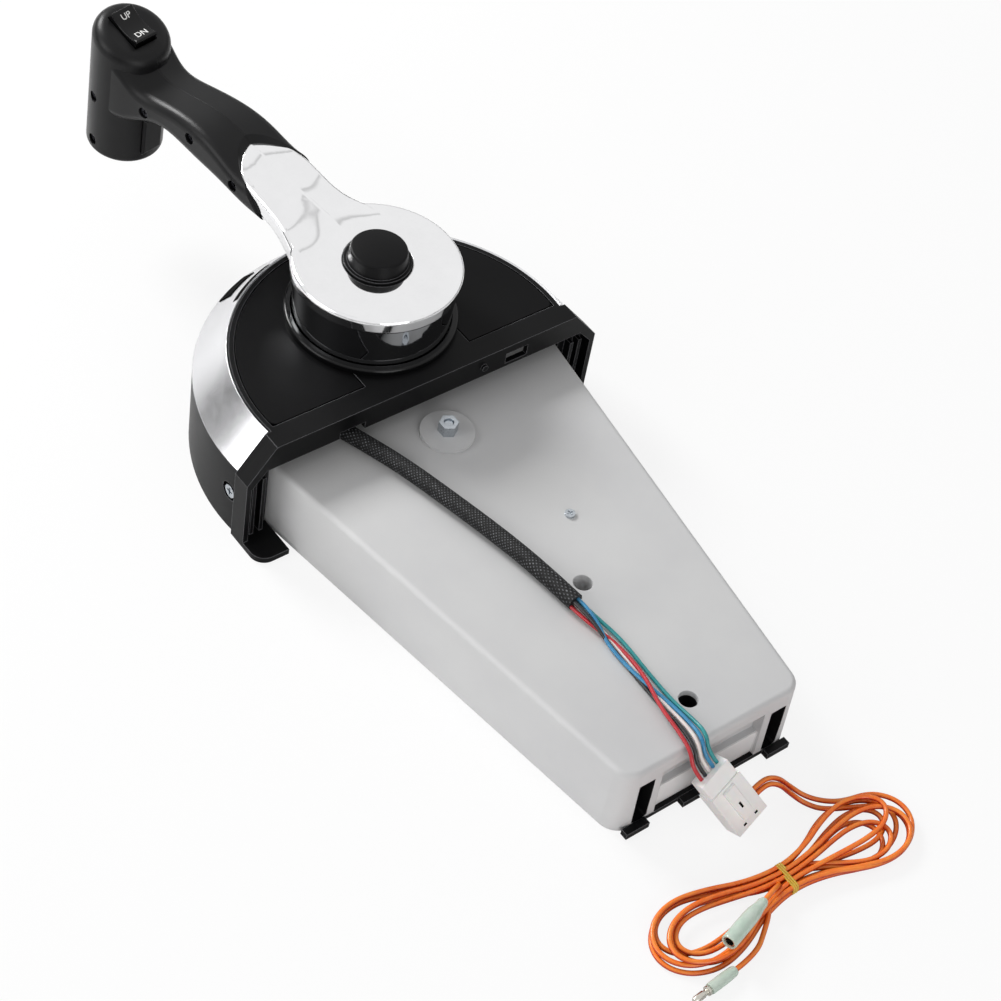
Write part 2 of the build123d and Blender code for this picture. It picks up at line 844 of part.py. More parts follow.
with BuildPart() as trim_band:
    with BuildSketch(hood_plane(0)):
        with BuildLine():
            Polyline(
                bevel_point(0, 0),
                bevel_point(bevel_drop, 0),
                bevel_point(bevel_drop, -band_thickness),
                bevel_point(0, -band_thickness),
                close=True,
            )
        make_face()
    revolve(axis=hood_axis)
    with BuildSketch():
        with Locations((bar_back_x - panel_line, 0)):
            Rectangle(2 * bezel_radius, 3 * bezel_radius, align=(Align.MIN, Align.CENTER))
    extrude(amount=bezel_top + cut_overrun, mode=Mode.SUBTRACT)
    with BuildSketch(hood_plane(insert_start_angle - insert_slack)):
        with BuildLine():
            Polyline(
                bevel_point(insert_upper_drop - insert_clearance, cut_overrun),
                bevel_point(insert_lower_drop + insert_clearance, cut_overrun),
                bevel_point(insert_lower_drop + insert_clearance, -band_thickness - cut_overrun),
                bevel_point(insert_upper_drop - insert_clearance, -band_thickness - cut_overrun),
                close=True,
            )
        make_face()
    revolve(axis=hood_axis, revolution_arc=insert_span + 2 * insert_slack, mode=Mode.SUBTRACT)
finish(trim_band, "trim_band", bright)

with BuildPart() as band_insert:
    with BuildSketch(hood_plane(insert_start_angle)):
        with BuildLine():
            Polyline(
                bevel_point(insert_upper_drop, insert_proud),
                bevel_point(insert_lower_drop, insert_proud),
                bevel_point(insert_lower_drop, -band_thickness),
                bevel_point(insert_upper_drop, -band_thickness),
                close=True,
            )
        make_face()
    revolve(axis=hood_axis, revolution_arc=insert_span)
finish(band_insert, "band_insert", black)

with BuildPart() as hub_collar:
    with BuildSketch(Plane.XY.offset(bezel_top)):
        Circle(collar_outer_radius)
        Circle(collar_inner_radius, mode=Mode.SUBTRACT)
    extrude(amount=collar_height)
    fillet(edges().group_by(Axis.Z)[-1].sort_by(SortBy.LENGTH)[-1], radius=collar_edge_radius)
finish(hub_collar, "hub_collar", black)

# Lever arm: a round hub, an arm that rises outwards and a tang inside the grip.
# Each row has shares: reach, half width, and the heights of ridge, shoulder and underside.
arm_shares = [
    (0.074, 1.05, -0.04, -0.115, -0.63),
    (0.124, 1.45, 0.18, -0.04, -0.62),
    (0.236, 1.05, 0.46, 0.077, -0.66),
    (0.323, 0.93, 0.6, 0.42, -0.33),
    (0.403, 0.9, 0.78, 0.64, -0.26),
    (0.521, 0.87, 0.87, 0.715, -0.12),
]
grip_shares = [
    (0.298, 1.03, 0.66, 0.354, -0.63),
    (0.391, 0.99, 0.87, 0.654, -0.36),
    (0.484, 0.95, 1.02, 0.87, -0.21),
    (0.558, 0.905, 1.26, 1.12, -0.13),
    (0.682, 0.82, 1.24, 1.14, -0.03),
    (0.782, 0.79, 1.04, 0.93, -0.085),
    (0.85, 0.81, 1.08, 0.86, -0.45),
    (0.9, 0.85, 1.42, 1.12, -0.78),
    (0.975, 0.885, 1.7, 1.35, -1.0),
]
# Screws of the grip: reach, height and half width there, as shares of the same sizes
grip_screw_shares = [
    (1.017, -0.515, 0.905),
    (1.017, -2.44, 0.92),
    (0.825, 0.215, 0.826),
    (0.634, 0.692, 0.853),
    (0.447, 0.262, 0.965),
]
grip_screw_places = [
    (reach * grip_reach, hub_top + height * arm_depth, width * arm_half_width)
    for reach, height, width in grip_screw_shares
]
lean = radians(barrel_lean)
crown_turn = radians(crown_slope)
upward = Vector(0, 0, 1)
barrel_out = lever_direction * cos(lean) + upward * sin(lean)
barrel_up = upward * cos(lean) - lever_direction * sin(lean)
barrel_foot = lever_direction * grip_reach + upward * barrel_bottom
barrel_plane = Plane(barrel_foot, x_dir=barrel_out, z_dir=barrel_up)
crown_height = (barrel_crown - barrel_bottom) / cos(lean)
crown_centre = barrel_foot + barrel_up * crown_height
crown_out = lever_direction * cos(crown_turn) + upward * sin(crown_turn)
crown_up = upward * cos(crown_turn) - lever_direction * sin(crown_turn)
crown_plane = Plane(crown_centre, x_dir=crown_out, z_dir=crown_up)
rocker_pivot = crown_centre - crown_up * rocker_pin_depth
rocker_side = Plane(rocker_pivot, x_dir=crown_out, z_dir=crown_out.cross(crown_up))
trigger_middle = barrel_foot + barrel_up * (trigger_bottom + trigger_height / 2 - barrel_bottom)
trigger_plane = Plane(trigger_middle, x_dir=lever_near, z_dir=barrel_out)
arch_direction = lever_direction * arch_slope + upward
mid_plane = Plane((0, 0, 0), x_dir=lever_direction, z_dir=lever_near)
boss_bottom = boss_top + bush_flange_thickness + running_gap
shaft_top = button_floor - shaft_seat_depth


def form_section(shares, corner_radius):
    """One closed section across the lever: five corners, all rounded."""
    reach, width, ridge, shoulder, underside = shares
    half_width = width * arm_half_width
    shoulder_z = hub_top + shoulder * arm_depth
    underside_z = hub_top + underside * arm_depth
    plane = Plane(lever_direction * (reach * grip_reach), x_dir=lever_near, z_dir=lever_direction)
    with BuildSketch(plane) as section:
        with BuildLine():
            Polyline(
                (-half_width, underside_z),
                (half_width, underside_z),
                (half_width, shoulder_z),
                (0, hub_top + ridge * arm_depth),
                (-half_width, shoulder_z),
                close=True,
            )
        make_face()
        fillet(vertices(), radius=corner_radius)
    return section.sketch


def arch_outline(gap):
    """All that lies on the hub's side of the arch, grown by the gap."""
    shoulder_y = sqrt(arch_radius**2 - (arch_shoulder_reach - arch_reach + arch_radius) ** 2)
    with BuildSketch(lever_top.offset(arch_level)) as outline:
        with Locations((arch_reach - arch_radius, 0)):
            Circle(arch_radius + gap)
        with BuildLine():
            Polyline(
                (arch_shoulder_reach + gap, -shoulder_y),
                (arch_shoulder_reach + gap, shoulder_y),
                (arch_tip_reach + gap, arch_tip_half_width),
                (arch_tip_reach + gap, hub_radius),
                (-hub_radius, hub_radius),
                (-hub_radius, -hub_radius),
                (arch_tip_reach + gap, -hub_radius),
                (arch_tip_reach + gap, -arch_tip_half_width),
                close=True,
            )
        make_face()
    return outline.sketch


def tang_outline(gap):
    """The side view of the tang, grown by the gap."""
    with BuildSketch(lever_side) as outline:
        with BuildLine():
            Polyline(
                (tang_start_reach, tang_start_level - gap),
                (tang_end_reach + gap, tang_end_level - gap),
                (tang_end_reach + gap, tang_end_level + tang_height + gap),
                (tang_start_reach, tang_start_level + tang_height + gap),
                close=True,
            )
        make_face()
    return outline.sketch


def screw_plane(reach, height, offset):
    """A plane across a grip screw, this far to the near side of the lever's middle."""
    origin = lever_direction * reach + upward * height + lever_near * offset
    return Plane(origin, x_dir=lever_direction, z_dir=lever_near)


with BuildPart() as lever_arm:
    loft([form_section(shares, arm_corner_radius) for shares in arm_shares])
    extrude(arch_outline(0), amount=arch_level, dir=arch_direction, both=True, mode=Mode.INTERSECT)
    extrude(tang_outline(0), amount=tang_half_width, both=True)
    with BuildSketch(Plane.XY.offset(hub_bottom)):
        Circle(hub_radius)
    extrude(amount=-arm_depth, mode=Mode.SUBTRACT)
    with BuildSketch(Plane.XZ):
        with Locations((0, hub_bottom)):
            Rectangle(hub_radius, hub_thickness, align=(Align.MIN, Align.MIN))
        fillet(vertices().group_by(Axis.X)[-1], radius=hub_edge_radius)
    revolve(axis=Axis.Z)
    with BuildSketch(Plane.XY.offset(boss_bottom)):
        Circle(hub_boss_radius)
    extrude(amount=hub_bottom + hub_edge_radius - boss_bottom)
    with BuildSketch(Plane.XY.offset(button_floor)):
        Circle(button_hole_radius)
    extrude(amount=hub_thickness + arm_depth, mode=Mode.SUBTRACT)
    with BuildSketch(Plane.XY.offset(boss_bottom)):
        Circle(shaft_radius + seat_gap)
    extrude(amount=shaft_top - boss_bottom, mode=Mode.SUBTRACT)
    with BuildSketch(Plane.XY.offset(shaft_top)):
        Circle(hub_screw_radius + seat_gap)
    extrude(amount=shaft_seat_depth, mode=Mode.SUBTRACT)
    for reach, height, width in grip_screw_places:
        if reach < tang_end_reach:
            with BuildSketch(screw_plane(reach, height, 0)):
                Circle(grip_screw_shank_radius + seat_gap)
            extrude(amount=arm_half_width, both=True, mode=Mode.SUBTRACT)
finish(lever_arm, "lever_arm", bright)

with BuildPart() as hub_skirt:
    with BuildSketch(Plane.XZ):
        with BuildLine():
            Polyline(
                (hub_boss_radius + seat_gap, hub_bottom),
                (skirt_top_radius, hub_bottom),
                (skirt_bottom_radius, skirt_bottom),
                (skirt_bottom_radius - skirt_wall, skirt_bottom),
                (skirt_top_radius - skirt_wall, hub_bottom - skirt_wall),
                (hub_boss_radius + seat_gap, hub_bottom - skirt_wall),
                close=True,
            )
        make_face()
    revolve(axis=Axis.Z)
finish(hub_skirt, "hub_skirt", black)

# Grip: a leaning barrel with a sloped crown, and a neck that swallows the lever's tang
with BuildPart() as grip_form:
    with BuildSketch(barrel_plane):
        Circle(barrel_radius)
    extrude(amount=crown_height + barrel_radius)
    split(bisect_by=crown_plane, keep=Keep.BOTTOM)
    fillet(edges().sort_by(Axis.Z)[-1], radius=crown_radius)
    fillet(edges().sort_by(Axis.Z)[0], radius=barrel_foot_radius)
    loft([form_section(shares, grip_corner_radius) for shares in grip_shares])
    with BuildSketch(barrel_plane.offset(barrel_floor)):
        Circle(barrel_radius - barrel_wall)
    extrude(amount=barrel_cavity_top - barrel_bottom - barrel_floor, mode=Mode.SUBTRACT)
    for reach, height, width in grip_screw_places:
        if reach > grip_reach:
            with BuildSketch(screw_plane(reach, height, 0)):
                Circle(grip_boss_radius)
            extrude(amount=barrel_radius - barrel_wall / 2, both=True)
    extrude(arch_outline(seat_gap), amount=arch_level, dir=arch_direction, both=True, mode=Mode.SUBTRACT)
    extrude(
        tang_outline(running_gap),
        amount=tang_half_width + running_gap,
        both=True,
        mode=Mode.SUBTRACT,
    )
    with BuildSketch(crown_plane):
        Rectangle(rocker_length + 2 * rocker_end_gap, rocker_width + 2 * sliding_gap)
    extrude(amount=-rocker_well_depth, mode=Mode.SUBTRACT)
    with BuildSketch(rocker_side):
        Circle(rocker_pin_radius + seat_gap)
    extrude(amount=rocker_width / 2 + rocker_pin_seat, both=True, mode=Mode.SUBTRACT)
    with BuildSketch(trigger_plane):
        Rectangle(2 * (trigger_half_width + sliding_gap), trigger_height + 2 * sliding_gap)
    extrude(amount=-barrel_radius - cut_overrun, mode=Mode.SUBTRACT)
    for reach, height, width in grip_screw_places:
        with BuildSketch(screw_plane(reach, height, width - grip_screw_recess_depth)):
            Circle(grip_screw_recess_radius)
        extrude(amount=grip_screw_recess_depth + cut_overrun, mode=Mode.SUBTRACT)
        with BuildSketch(screw_plane(reach, height, width - grip_screw_recess_depth)):
            Circle(grip_screw_shank_radius + seat_gap)
        extrude(amount=grip_screw_recess_depth - width - grip_screw_bite, mode=Mode.SUBTRACT)

with BuildPart() as grip_near:
    add(grip_form.part)
    split(bisect_by=mid_plane, keep=Keep.TOP)
finish(grip_near, "grip_near", black)

with BuildPart() as grip_far:
    add(grip_form.part)
    split(bisect_by=mid_plane, keep=Keep.BOTTOM)
finish(grip_far, "grip_far", black)

with BuildPart() as grip_screws:
    for reach, height, width in grip_screw_places:
        with BuildSketch(screw_plane(reach, height, width - grip_screw_recess_depth)):
            Circle(grip_screw_head_radius)
        extrude(amount=grip_screw_head_height)
        with BuildSketch(screw_plane(reach, height, width - grip_screw_recess_depth)):
            Circle(grip_screw_shank_radius)
        extrude(amount=grip_screw_recess_depth - width - grip_screw_bite)
        with BuildSketch(screw_plane(reach, height, width - grip_screw_recess_depth + grip_screw_head_height)):
            Rectangle(2 * grip_screw_shank_radius, grip_screw_shank_radius / 2)
            Rectangle(grip_screw_shank_radius / 2, 2 * grip_screw_shank_radius)
        extrude(amount=-grip_screw_head_height / 2, mode=Mode.SUBTRACT)
finish(grip_screws, "grip_screws", steel)

with BuildPart() as trim_rocker:
    top = rocker_pin_depth + rocker_rise
    foot = rocker_pin_depth - rocker_depth
    half_length = rocker_length / 2
    with BuildSketch(rocker_side):
        with BuildLine():
            Polyline(
                (-half_length, top),
                (-half_length * rocker_foot_share, foot),
                (half_length * rocker_foot_share, foot),
                (half_length, top),
            )
            ThreePointArc((half_length, top), (0, top - rocker_dish), (-half_length, top))
        make_face()
    extrude(amount=rocker_width / 2, both=True)
    fillet(faces().filter_by(GeomType.CYLINDER).edges(), radius=rocker_edge_radius)
    with BuildSketch(rocker_side):
        Circle(rocker_pin_radius + running_gap)
    extrude(amount=rocker_width / 2, both=True, mode=Mode.SUBTRACT)
finish(trim_rocker, "trim_rocker", black)

with BuildPart() as rocker_pin:
    with BuildSketch(rocker_side):
        Circle(rocker_pin_radius)
    extrude(amount=rocker_width / 2 + rocker_pin_seat - running_gap, both=True)
finish(rocker_pin, "rocker_pin", steel)

with BuildPart() as switch_body:
    with BuildSketch(crown_plane.offset(-rocker_well_depth)):
        Rectangle(
            rocker_length + 2 * rocker_end_gap - 2 * running_gap,
            rocker_width + 2 * sliding_gap - 2 * running_gap,
        )
    extrude(amount=switch_body_height)
finish(switch_body, "switch_body", black)

with BuildPart() as neutral_trigger:
    with BuildSketch(trigger_plane.offset(-barrel_radius - trigger_proud)):
        Rectangle(2 * trigger_half_width, trigger_height)
    extrude(amount=barrel_radius + trigger_proud - trigger_flange_place)
    fillet(faces().sort_by(Axis((0, 0, 0), barrel_out))[0].edges(), radius=trigger_edge_radius)
    with BuildSketch(trigger_plane.offset(-trigger_flange_place)):
        Rectangle(2 * (trigger_half_width + trigger_flange), trigger_height + trigger_flange)
    extrude(amount=trigger_flange)
finish(neutral_trigger, "neutral_trigger", black)

# Button in the hub, on a rubber bellows over the hub screw
button_bottom = button_floor + button_skirt_clearance
button_top = hub_top + button_rise
button_inner_radius = button_base_radius - button_skirt_wall
dome_radius = (button_top_radius**2 + button_crown**2) / (2 * button_crown)
dome_side = sqrt(dome_radius**2 - button_top_radius**2 / 4)

with BuildPart() as throttle_only_button:
    with BuildSketch(Plane.XZ):
        with BuildLine():
            Polyline(
                (0, button_top + button_crown),
                (0, button_top - button_roof),
                (button_inner_radius, button_top - button_roof),
                (button_inner_radius, button_bottom),
                (button_hole_radius - running_gap, button_bottom),
                (button_hole_radius - running_gap, button_bottom + button_guide_height),
                (button_base_radius, button_bottom + button_guide_height),
                (button_base_radius, hub_top + button_shoulder_rise),
                (button_top_radius + button_shoulder_step, hub_top + button_shoulder_rise),
                (button_top_radius, button_top),
            )
            ThreePointArc(
                (button_top_radius, button_top),
                (button_top_radius / 2, button_top + button_crown - dome_radius + dome_side),
                (0, button_top + button_crown),
            )
        make_face()
        fillet(vertices().sort_by_distance((button_top_radius, button_top))[0], radius=button_edge_radius)
    revolve(axis=Axis.Z)
finish(throttle_only_button, "throttle_only_button", black)

with BuildPart() as button_bellows:
    fold_run = (button_top - button_roof - button_floor) / (2 * bellows_fold_count)
    inner_line = []
    for step in range(2 * bellows_fold_count + 1):
        fold_radius = bellows_inner_radius + (bellows_fold if step % 2 else 0)
        inner_line.append((fold_radius, button_floor + step * fold_run))
    outer_line = [(radius + bellows_wall, z) for radius, z in reversed(inner_line)]
    with BuildSketch(Plane.XZ):
        with BuildLine():
            Polyline(*inner_line, *outer_line, close=True)
        make_face()
    revolve(axis=Axis.Z)
finish(button_bellows, "button_bellows", black)

with BuildPart() as hub_screw:
    with BuildSketch(Plane.XY.offset(button_floor)):
        Circle(hub_screw_head_radius)
    extrude(amount=hub_screw_head_height)
    with BuildSketch(Plane.XY.offset(button_floor)):
        Circle(hub_screw_radius)
    extrude(amount=-hub_screw_grip)
    with BuildSketch(Plane.XY.offset(button_floor + hub_screw_head_height)):
        RegularPolygon(radius=hub_screw_socket_radius, side_count=6)
    extrude(amount=-hub_screw_socket_depth, mode=Mode.SUBTRACT)
finish(hub_screw, "hub_screw", steel)

# Shaft in two bushes, with everything that turns with the lever
with BuildPart() as lever_shaft:
    with BuildSketch(Plane.XY.offset(shaft_bottom)):
        Circle(shaft_radius)
    extrude(amount=shaft_top - shaft_bottom)
    chamfer(edges().filter_by(GeomType.CIRCLE), length=shaft_chamfer)
    with BuildSketch(Plane.XY.offset(shaft_top)):
        Circle(hub_screw_radius + seat_gap)
    extrude(amount=-hub_screw_grip, mode=Mode.SUBTRACT)
finish(lever_shaft, "lever_shaft", steel)

with BuildPart() as upper_bush:
    with BuildSketch(Plane.XY.offset(inner_top - boss_depth)):
        Circle(shaft_radius + bush_wall)
    extrude(amount=boss_top - inner_top + boss_depth)
    with BuildSketch(Plane.XY.offset(boss_top)):
        Circle(shaft_radius + bush_wall + bush_flange)
    extrude(amount=bush_flange_thickness)
    with BuildSketch(Plane.XY.offset(inner_top - boss_depth)):
        Circle(shaft_radius + running_gap)
    extrude(amount=boss_bottom - inner_top + boss_depth, mode=Mode.SUBTRACT)
finish(upper_bush, "upper_bush", bright)

with BuildPart() as lower_bush:
    with BuildSketch(Plane.XY.offset(back_thickness)):
        Circle(shaft_radius + bush_wall)
        Circle(shaft_radius + running_gap, mode=Mode.SUBTRACT)
    extrude(amount=lower_bush_height - running_gap)
finish(lower_bush, "lower_bush", bright)

with BuildPart() as throttle_crank:
    with BuildSketch(Plane.XY.offset(crank_level)):
        Circle(crank_hub_radius)
        with Locations((0, -crank_throw)):
            Circle(crank_eye_radius)
        with BuildLine():
            Polyline(
                (-crank_hub_radius, 0),
                (crank_hub_radius, 0),
                (crank_eye_radius, -crank_throw),
                (-crank_eye_radius, -crank_throw),
                close=True,
            )
        make_face()
        Circle(shaft_radius + seat_gap, mode=Mode.SUBTRACT)
        with Locations((0, -crank_throw)):
            Circle(cable_pin_radius + seat_gap, mode=Mode.SUBTRACT)
    extrude(amount=crank_thickness)
finish(throttle_crank, "throttle_crank", steel)

with BuildPart() as crank_pin:
    with BuildSketch(Plane.XY.offset(crank_level + crank_thickness)):
        with Locations((0, -crank_throw)):
            Circle(cable_pin_radius)
    extrude(amount=-cable_pin_length)
    with BuildSketch(Plane.XY.offset(crank_level + crank_thickness - cable_pin_length)):
        with Locations((0, -crank_throw)):
            Circle(cable_pin_head_radius)
    extrude(amount=cable_pin_head_height)
finish(crank_pin, "crank_pin", steel)

# Shift gears with involute teeth
flank_steps = 5
involute_at_pitch = tan(radians(pressure_angle)) - radians(pressure_angle)


def tooth_points(radius, teeth, centres):
    """The rim of a gear from its first to its last tooth; the tooth centres are in radians."""
    base = radius * cos(radians(pressure_angle))
    root = radius - gear_module * (1 + root_clearance_share)
    thickness = pi * gear_module / 2 - tooth_backlash / 2
    start = max(base, root)
    points = []
    for centre in centres:
        flank = []
        for step in range(flank_steps + 1):
            at = start + (radius + gear_module - start) * step / flank_steps
            roll = acos(min(1, base / at))
            half = thickness / (2 * radius) + involute_at_pitch - tan(roll) + roll
            flank.append((at, half))
        flank.insert(0, (root - seat_gap, flank[0][1]))
        points += [(at * cos(centre - half), at * sin(centre - half)) for at, half in flank]
        points += [(at * cos(centre + half), at * sin(centre + half)) for at, half in reversed(flank)]
    return points


pinion_centres = [2 * pi * tooth / pinion_teeth for tooth in range(pinion_teeth)]
sector_pitch = 2 * pi / sector_teeth
sector_centres = [
    pi + (tooth - (sector_tooth_count - 1) / 2) * sector_pitch for tooth in range(sector_tooth_count)
]
sector_root = sector_radius - gear_module * (1 + root_clearance_share)
web_outer = sector_root - sector_rim_width
web_inner = sector_hub_radius + sector_rim_width / 2
web_half_angle = (sector_tooth_count / 2 - 1) * sector_pitch
web_corner_angle = web_half_angle - asin(sector_rim_width / 2 / web_inner)

with BuildPart() as shift_pinion:
    with BuildSketch(Plane.XY.offset(gear_level)):
        with BuildLine():
            Polyline(*tooth_points(pinion_radius, pinion_teeth, pinion_centres), close=True)
        make_face()
        Circle(shaft_radius + seat_gap, mode=Mode.SUBTRACT)
    extrude(amount=gear_thickness)
finish(shift_pinion, "shift_pinion", steel)

with BuildPart() as shift_sector:
    with BuildSketch(Plane((axle_x, 0, gear_level))):
        with BuildLine():
            Polyline((0, 0), *tooth_points(sector_radius, sector_teeth, sector_centres), close=True)
        make_face()
        Circle(sector_hub_radius)
        with Locations((sector_arm_reach / 2, 0)):
            Rectangle(sector_arm_reach, 2 * sector_arm_half_width)
        with Locations((sector_arm_reach, 0)):
            Circle(sector_arm_half_width)
        with BuildLine():
            Polyline(
                (-web_outer * cos(web_half_angle), -web_outer * sin(web_half_angle)),
                (-web_inner * cos(web_corner_angle), -web_inner * sin(web_corner_angle)),
            )
            ThreePointArc(
                (-web_inner * cos(web_corner_angle), -web_inner * sin(web_corner_angle)),
                (-web_inner, 0),
                (-web_inner * cos(web_corner_angle), web_inner * sin(web_corner_angle)),
            )
            Polyline(
                (-web_inner * cos(web_corner_angle), web_inner * sin(web_corner_angle)),
                (-web_outer * cos(web_half_angle), web_outer * sin(web_half_angle)),
            )
            ThreePointArc(
                (-web_outer * cos(web_half_angle), web_outer * sin(web_half_angle)),
                (-web_outer, 0),
                (-web_outer * cos(web_half_angle), -web_outer * sin(web_half_angle)),
            )
        make_face(mode=Mode.SUBTRACT)
        Circle(axle_radius + running_gap, mode=Mode.SUBTRACT)
        with Locations((sector_arm_reach, 0)):
            Circle(cable_pin_radius + seat_gap, mode=Mode.SUBTRACT)
    extrude(amount=gear_thickness)
finish(shift_sector, "shift_sector", steel)

with BuildPart() as sector_pin:
    with BuildSketch(Plane.XY.offset(gear_level + gear_thickness)):
        with Locations((axle_x + sector_arm_reach, 0)):
            Circle(cable_pin_radius)
    extrude(amount=-cable_pin_length)
    with BuildSketch(Plane.XY.offset(gear_level + gear_thickness - cable_pin_length)):
        with Locations((axle_x + sector_arm_reach, 0)):
            Circle(cable_pin_head_radius)
    extrude(amount=cable_pin_head_height)
finish(sector_pin, "sector_pin", steel)

washer_top = housing_height + washer_thickness
with BuildPart() as shift_axle:
    with BuildSketch(Plane((axle_x, 0, gear_level - running_gap - axle_collar_height))):
        Circle(axle_collar_radius)
    extrude(amount=axle_collar_height)
    with BuildSketch(Plane((axle_x, 0, gear_level - running_gap))):
        Circle(axle_radius)
    extrude(amount=gear_thickness + 2 * running_gap)
    with BuildSketch(Plane((axle_x, 0, gear_level + gear_thickness + running_gap))):
        Circle(axle_collar_radius)
    extrude(amount=inner_top - gear_level - gear_thickness - running_gap)
    with BuildSketch(Plane((axle_x, 0, inner_top))):
        Circle(stud_radius)
    extrude(amount=washer_top + nut_thickness - stud_inset - inner_top)
    chamfer(edges().filter_by(GeomType.CIRCLE).group_by(Axis.Z)[-1], length=stud_radius / 6)
finish(shift_axle, "shift_axle", steel)

with BuildPart() as boss_washer:
    with BuildSketch(Plane((axle_x, 0, housing_height))):
        Circle(washer_radius)
        Circle(stud_radius + seat_gap, mode=Mode.SUBTRACT)
    extrude(amount=washer_thickness)
finish(boss_washer, "boss_washer", grey)

with BuildPart() as boss_nut:
    with BuildSketch(Plane((axle_x, 0, washer_top))):
        RegularPolygon(radius=nut_across_flats / 2, side_count=6, major_radius=False)
        Circle(stud_radius + seat_gap, mode=Mode.SUBTRACT)
    extrude(amount=nut_thickness)
finish(boss_nut, "boss_nut", steel)

# Neutral detent, its switch and the friction pad
with BuildPart() as detent_plate:
    notch_reach = detent_radius + detent_notch_radius - detent_notch_depth
    with BuildSketch(Plane.XY.offset(detent_level)):
        Circle(detent_radius)
        for notch in (-1, 0, 1):
            turn = radians(180 + notch * detent_side_angle)
            with Locations((notch_reach * cos(turn), notch_reach * sin(turn))):
                Circle(detent_notch_radius, mode=Mode.SUBTRACT)
        Circle(shaft_radius + seat_gap, mode=Mode.SUBTRACT)
    extrude(amount=detent_thickness)
finish(detent_plate, "detent_plate", steel)

with BuildPart() as detent_roller:
    with BuildSketch(Plane.XY.offset(detent_level)):
        with Locations((detent_roller_x, 0)):
            Circle(detent_roller_radius)
    extrude(amount=leaf_height)
finish(detent_roller, "detent_roller", steel)

with BuildPart() as detent_leaf:
    with BuildSketch(Plane.XY.offset(detent_level)):
        with Locations((leaf_front_x - leaf_thickness / 2, 0)):
            Rectangle(leaf_thickness, leaf_length)
    extrude(amount=leaf_height)
finish(detent_leaf, "detent_leaf", steel)

with BuildPart() as neutral_switch:
    plunger_start = detent_radius + switch_gap
    with BuildSketch(Plane.XY.offset(inner_top - switch_height)):
        with Locations((0, plunger_start + 2 * switch_plunger_radius)):
            Rectangle(switch_length, switch_depth, align=(Align.CENTER, Align.MIN))
    extrude(amount=switch_height - seat_gap)
    with BuildSketch(Plane.XZ.offset(-plunger_start)):
        with Locations((0, friction_level)):
            Circle(switch_plunger_radius)
    extrude(amount=-2 * switch_plunger_radius)
finish(neutral_switch, "neutral_switch", black)

pad_bottom = friction_level - friction_pad_height / 2
pad_outer = detent_radius + running_gap + friction_pad_thickness
with BuildPart() as friction_pad:
    with BuildSketch(Plane.XY.offset(pad_bottom)):
        with Locations((0, -pad_outer)):
            Rectangle(
                2 * friction_pad_half_width,
                2 * friction_pad_thickness,
                align=(Align.CENTER, Align.MIN),
            )
        Circle(detent_radius + running_gap, mode=Mode.SUBTRACT)
    extrude(amount=friction_pad_height)
finish(friction_pad, "friction_pad", black)

with BuildPart() as friction_screw:
    with BuildSketch(Plane.XZ.offset(pad_outer + seat_gap)):
        with Locations((0, friction_level)):
            Circle(friction_screw_radius)
    extrude(amount=friction_screw_length)
    with BuildSketch(Plane.XZ.offset(pad_outer + seat_gap + friction_screw_length)):
        with Locations((0, friction_level)):
            Circle(friction_head_radius)
            Rectangle(2 * friction_head_radius, friction_head_radius / 4, mode=Mode.SUBTRACT)
    extrude(amount=friction_head_height)
    with BuildSketch(Plane.XZ.offset(pad_outer + seat_gap + friction_screw_length)):
        with Locations((0, friction_level)):
            Circle(friction_head_radius)
    extrude(amount=friction_head_height / 2)
finish(friction_screw, "friction_screw", steel)

# Anchor for the jackets of the two control cables, inside the windows
with BuildPart() as cable_anchor:
    with BuildSketch(Plane.XY.offset(back_thickness)):
        with Locations((anchor_start_x, 0)):
            Rectangle(
                anchor_length,
                2 * (window_offset + anchor_half_width),
                align=(Align.MIN, Align.CENTER),
            )
    extrude(amount=anchor_wall)
    for side in (-1, 1):
        with BuildSketch(Plane.XY.offset(back_thickness)):
            with Locations((anchor_start_x, side * window_offset)):
                Rectangle(anchor_length, 2 * anchor_half_width, align=(Align.MIN, Align.CENTER))
        extrude(amount=anchor_groove_level - back_thickness)
        with BuildSketch(Plane.YZ.offset(anchor_start_x)):
            with Locations((side * window_offset, anchor_groove_level)):
                Circle(anchor_groove_radius)
        extrude(amount=anchor_length, mode=Mode.SUBTRACT)
        with BuildSketch(Plane.YZ.offset(anchor_start_x + anchor_length / 2 - anchor_rib / 2)):
            with Locations((side * window_offset, back_thickness)):
                Rectangle(
                    2 * anchor_half_width,
                    anchor_groove_level - back_thickness,
                    align=(Align.CENTER, Align.MIN),
                )
            with Locations((side * window_offset, anchor_groove_level)):
                Circle(anchor_groove_radius - anchor_rib / 2, mode=Mode.SUBTRACT)
        extrude(amount=anchor_rib)
finish(cable_anchor, "cable_anchor", black)

with BuildPart() as bezel_screws:
    for side in (-1, 1):
        head_y = bezel_radius - bezel_screw_recess_depth
        with BuildSketch(Plane.XZ.offset(-side * head_y)):
            with Locations((bezel_screw_x, bezel_screw_z)):
                Circle(bezel_screw_head_radius)
        extrude(amount=-side * bezel_screw_head_height)
        with BuildSketch(Plane.XZ.offset(-side * head_y)):
            with Locations((bezel_screw_x, bezel_screw_z)):
                Circle(bezel_screw_radius)
        extrude(amount=side * bezel_screw_length)
        with BuildSketch(Plane.XZ.offset(-side * (head_y + bezel_screw_head_height))):
            with Locations((bezel_screw_x, bezel_screw_z)):
                Rectangle(2 * bezel_screw_radius, bezel_screw_radius / 2)
                Rectangle(bezel_screw_radius / 2, 2 * bezel_screw_radius)
        extrude(amount=side * bezel_screw_head_height / 2, mode=Mode.SUBTRACT)
finish(bezel_screws, "bezel_screws", steel)

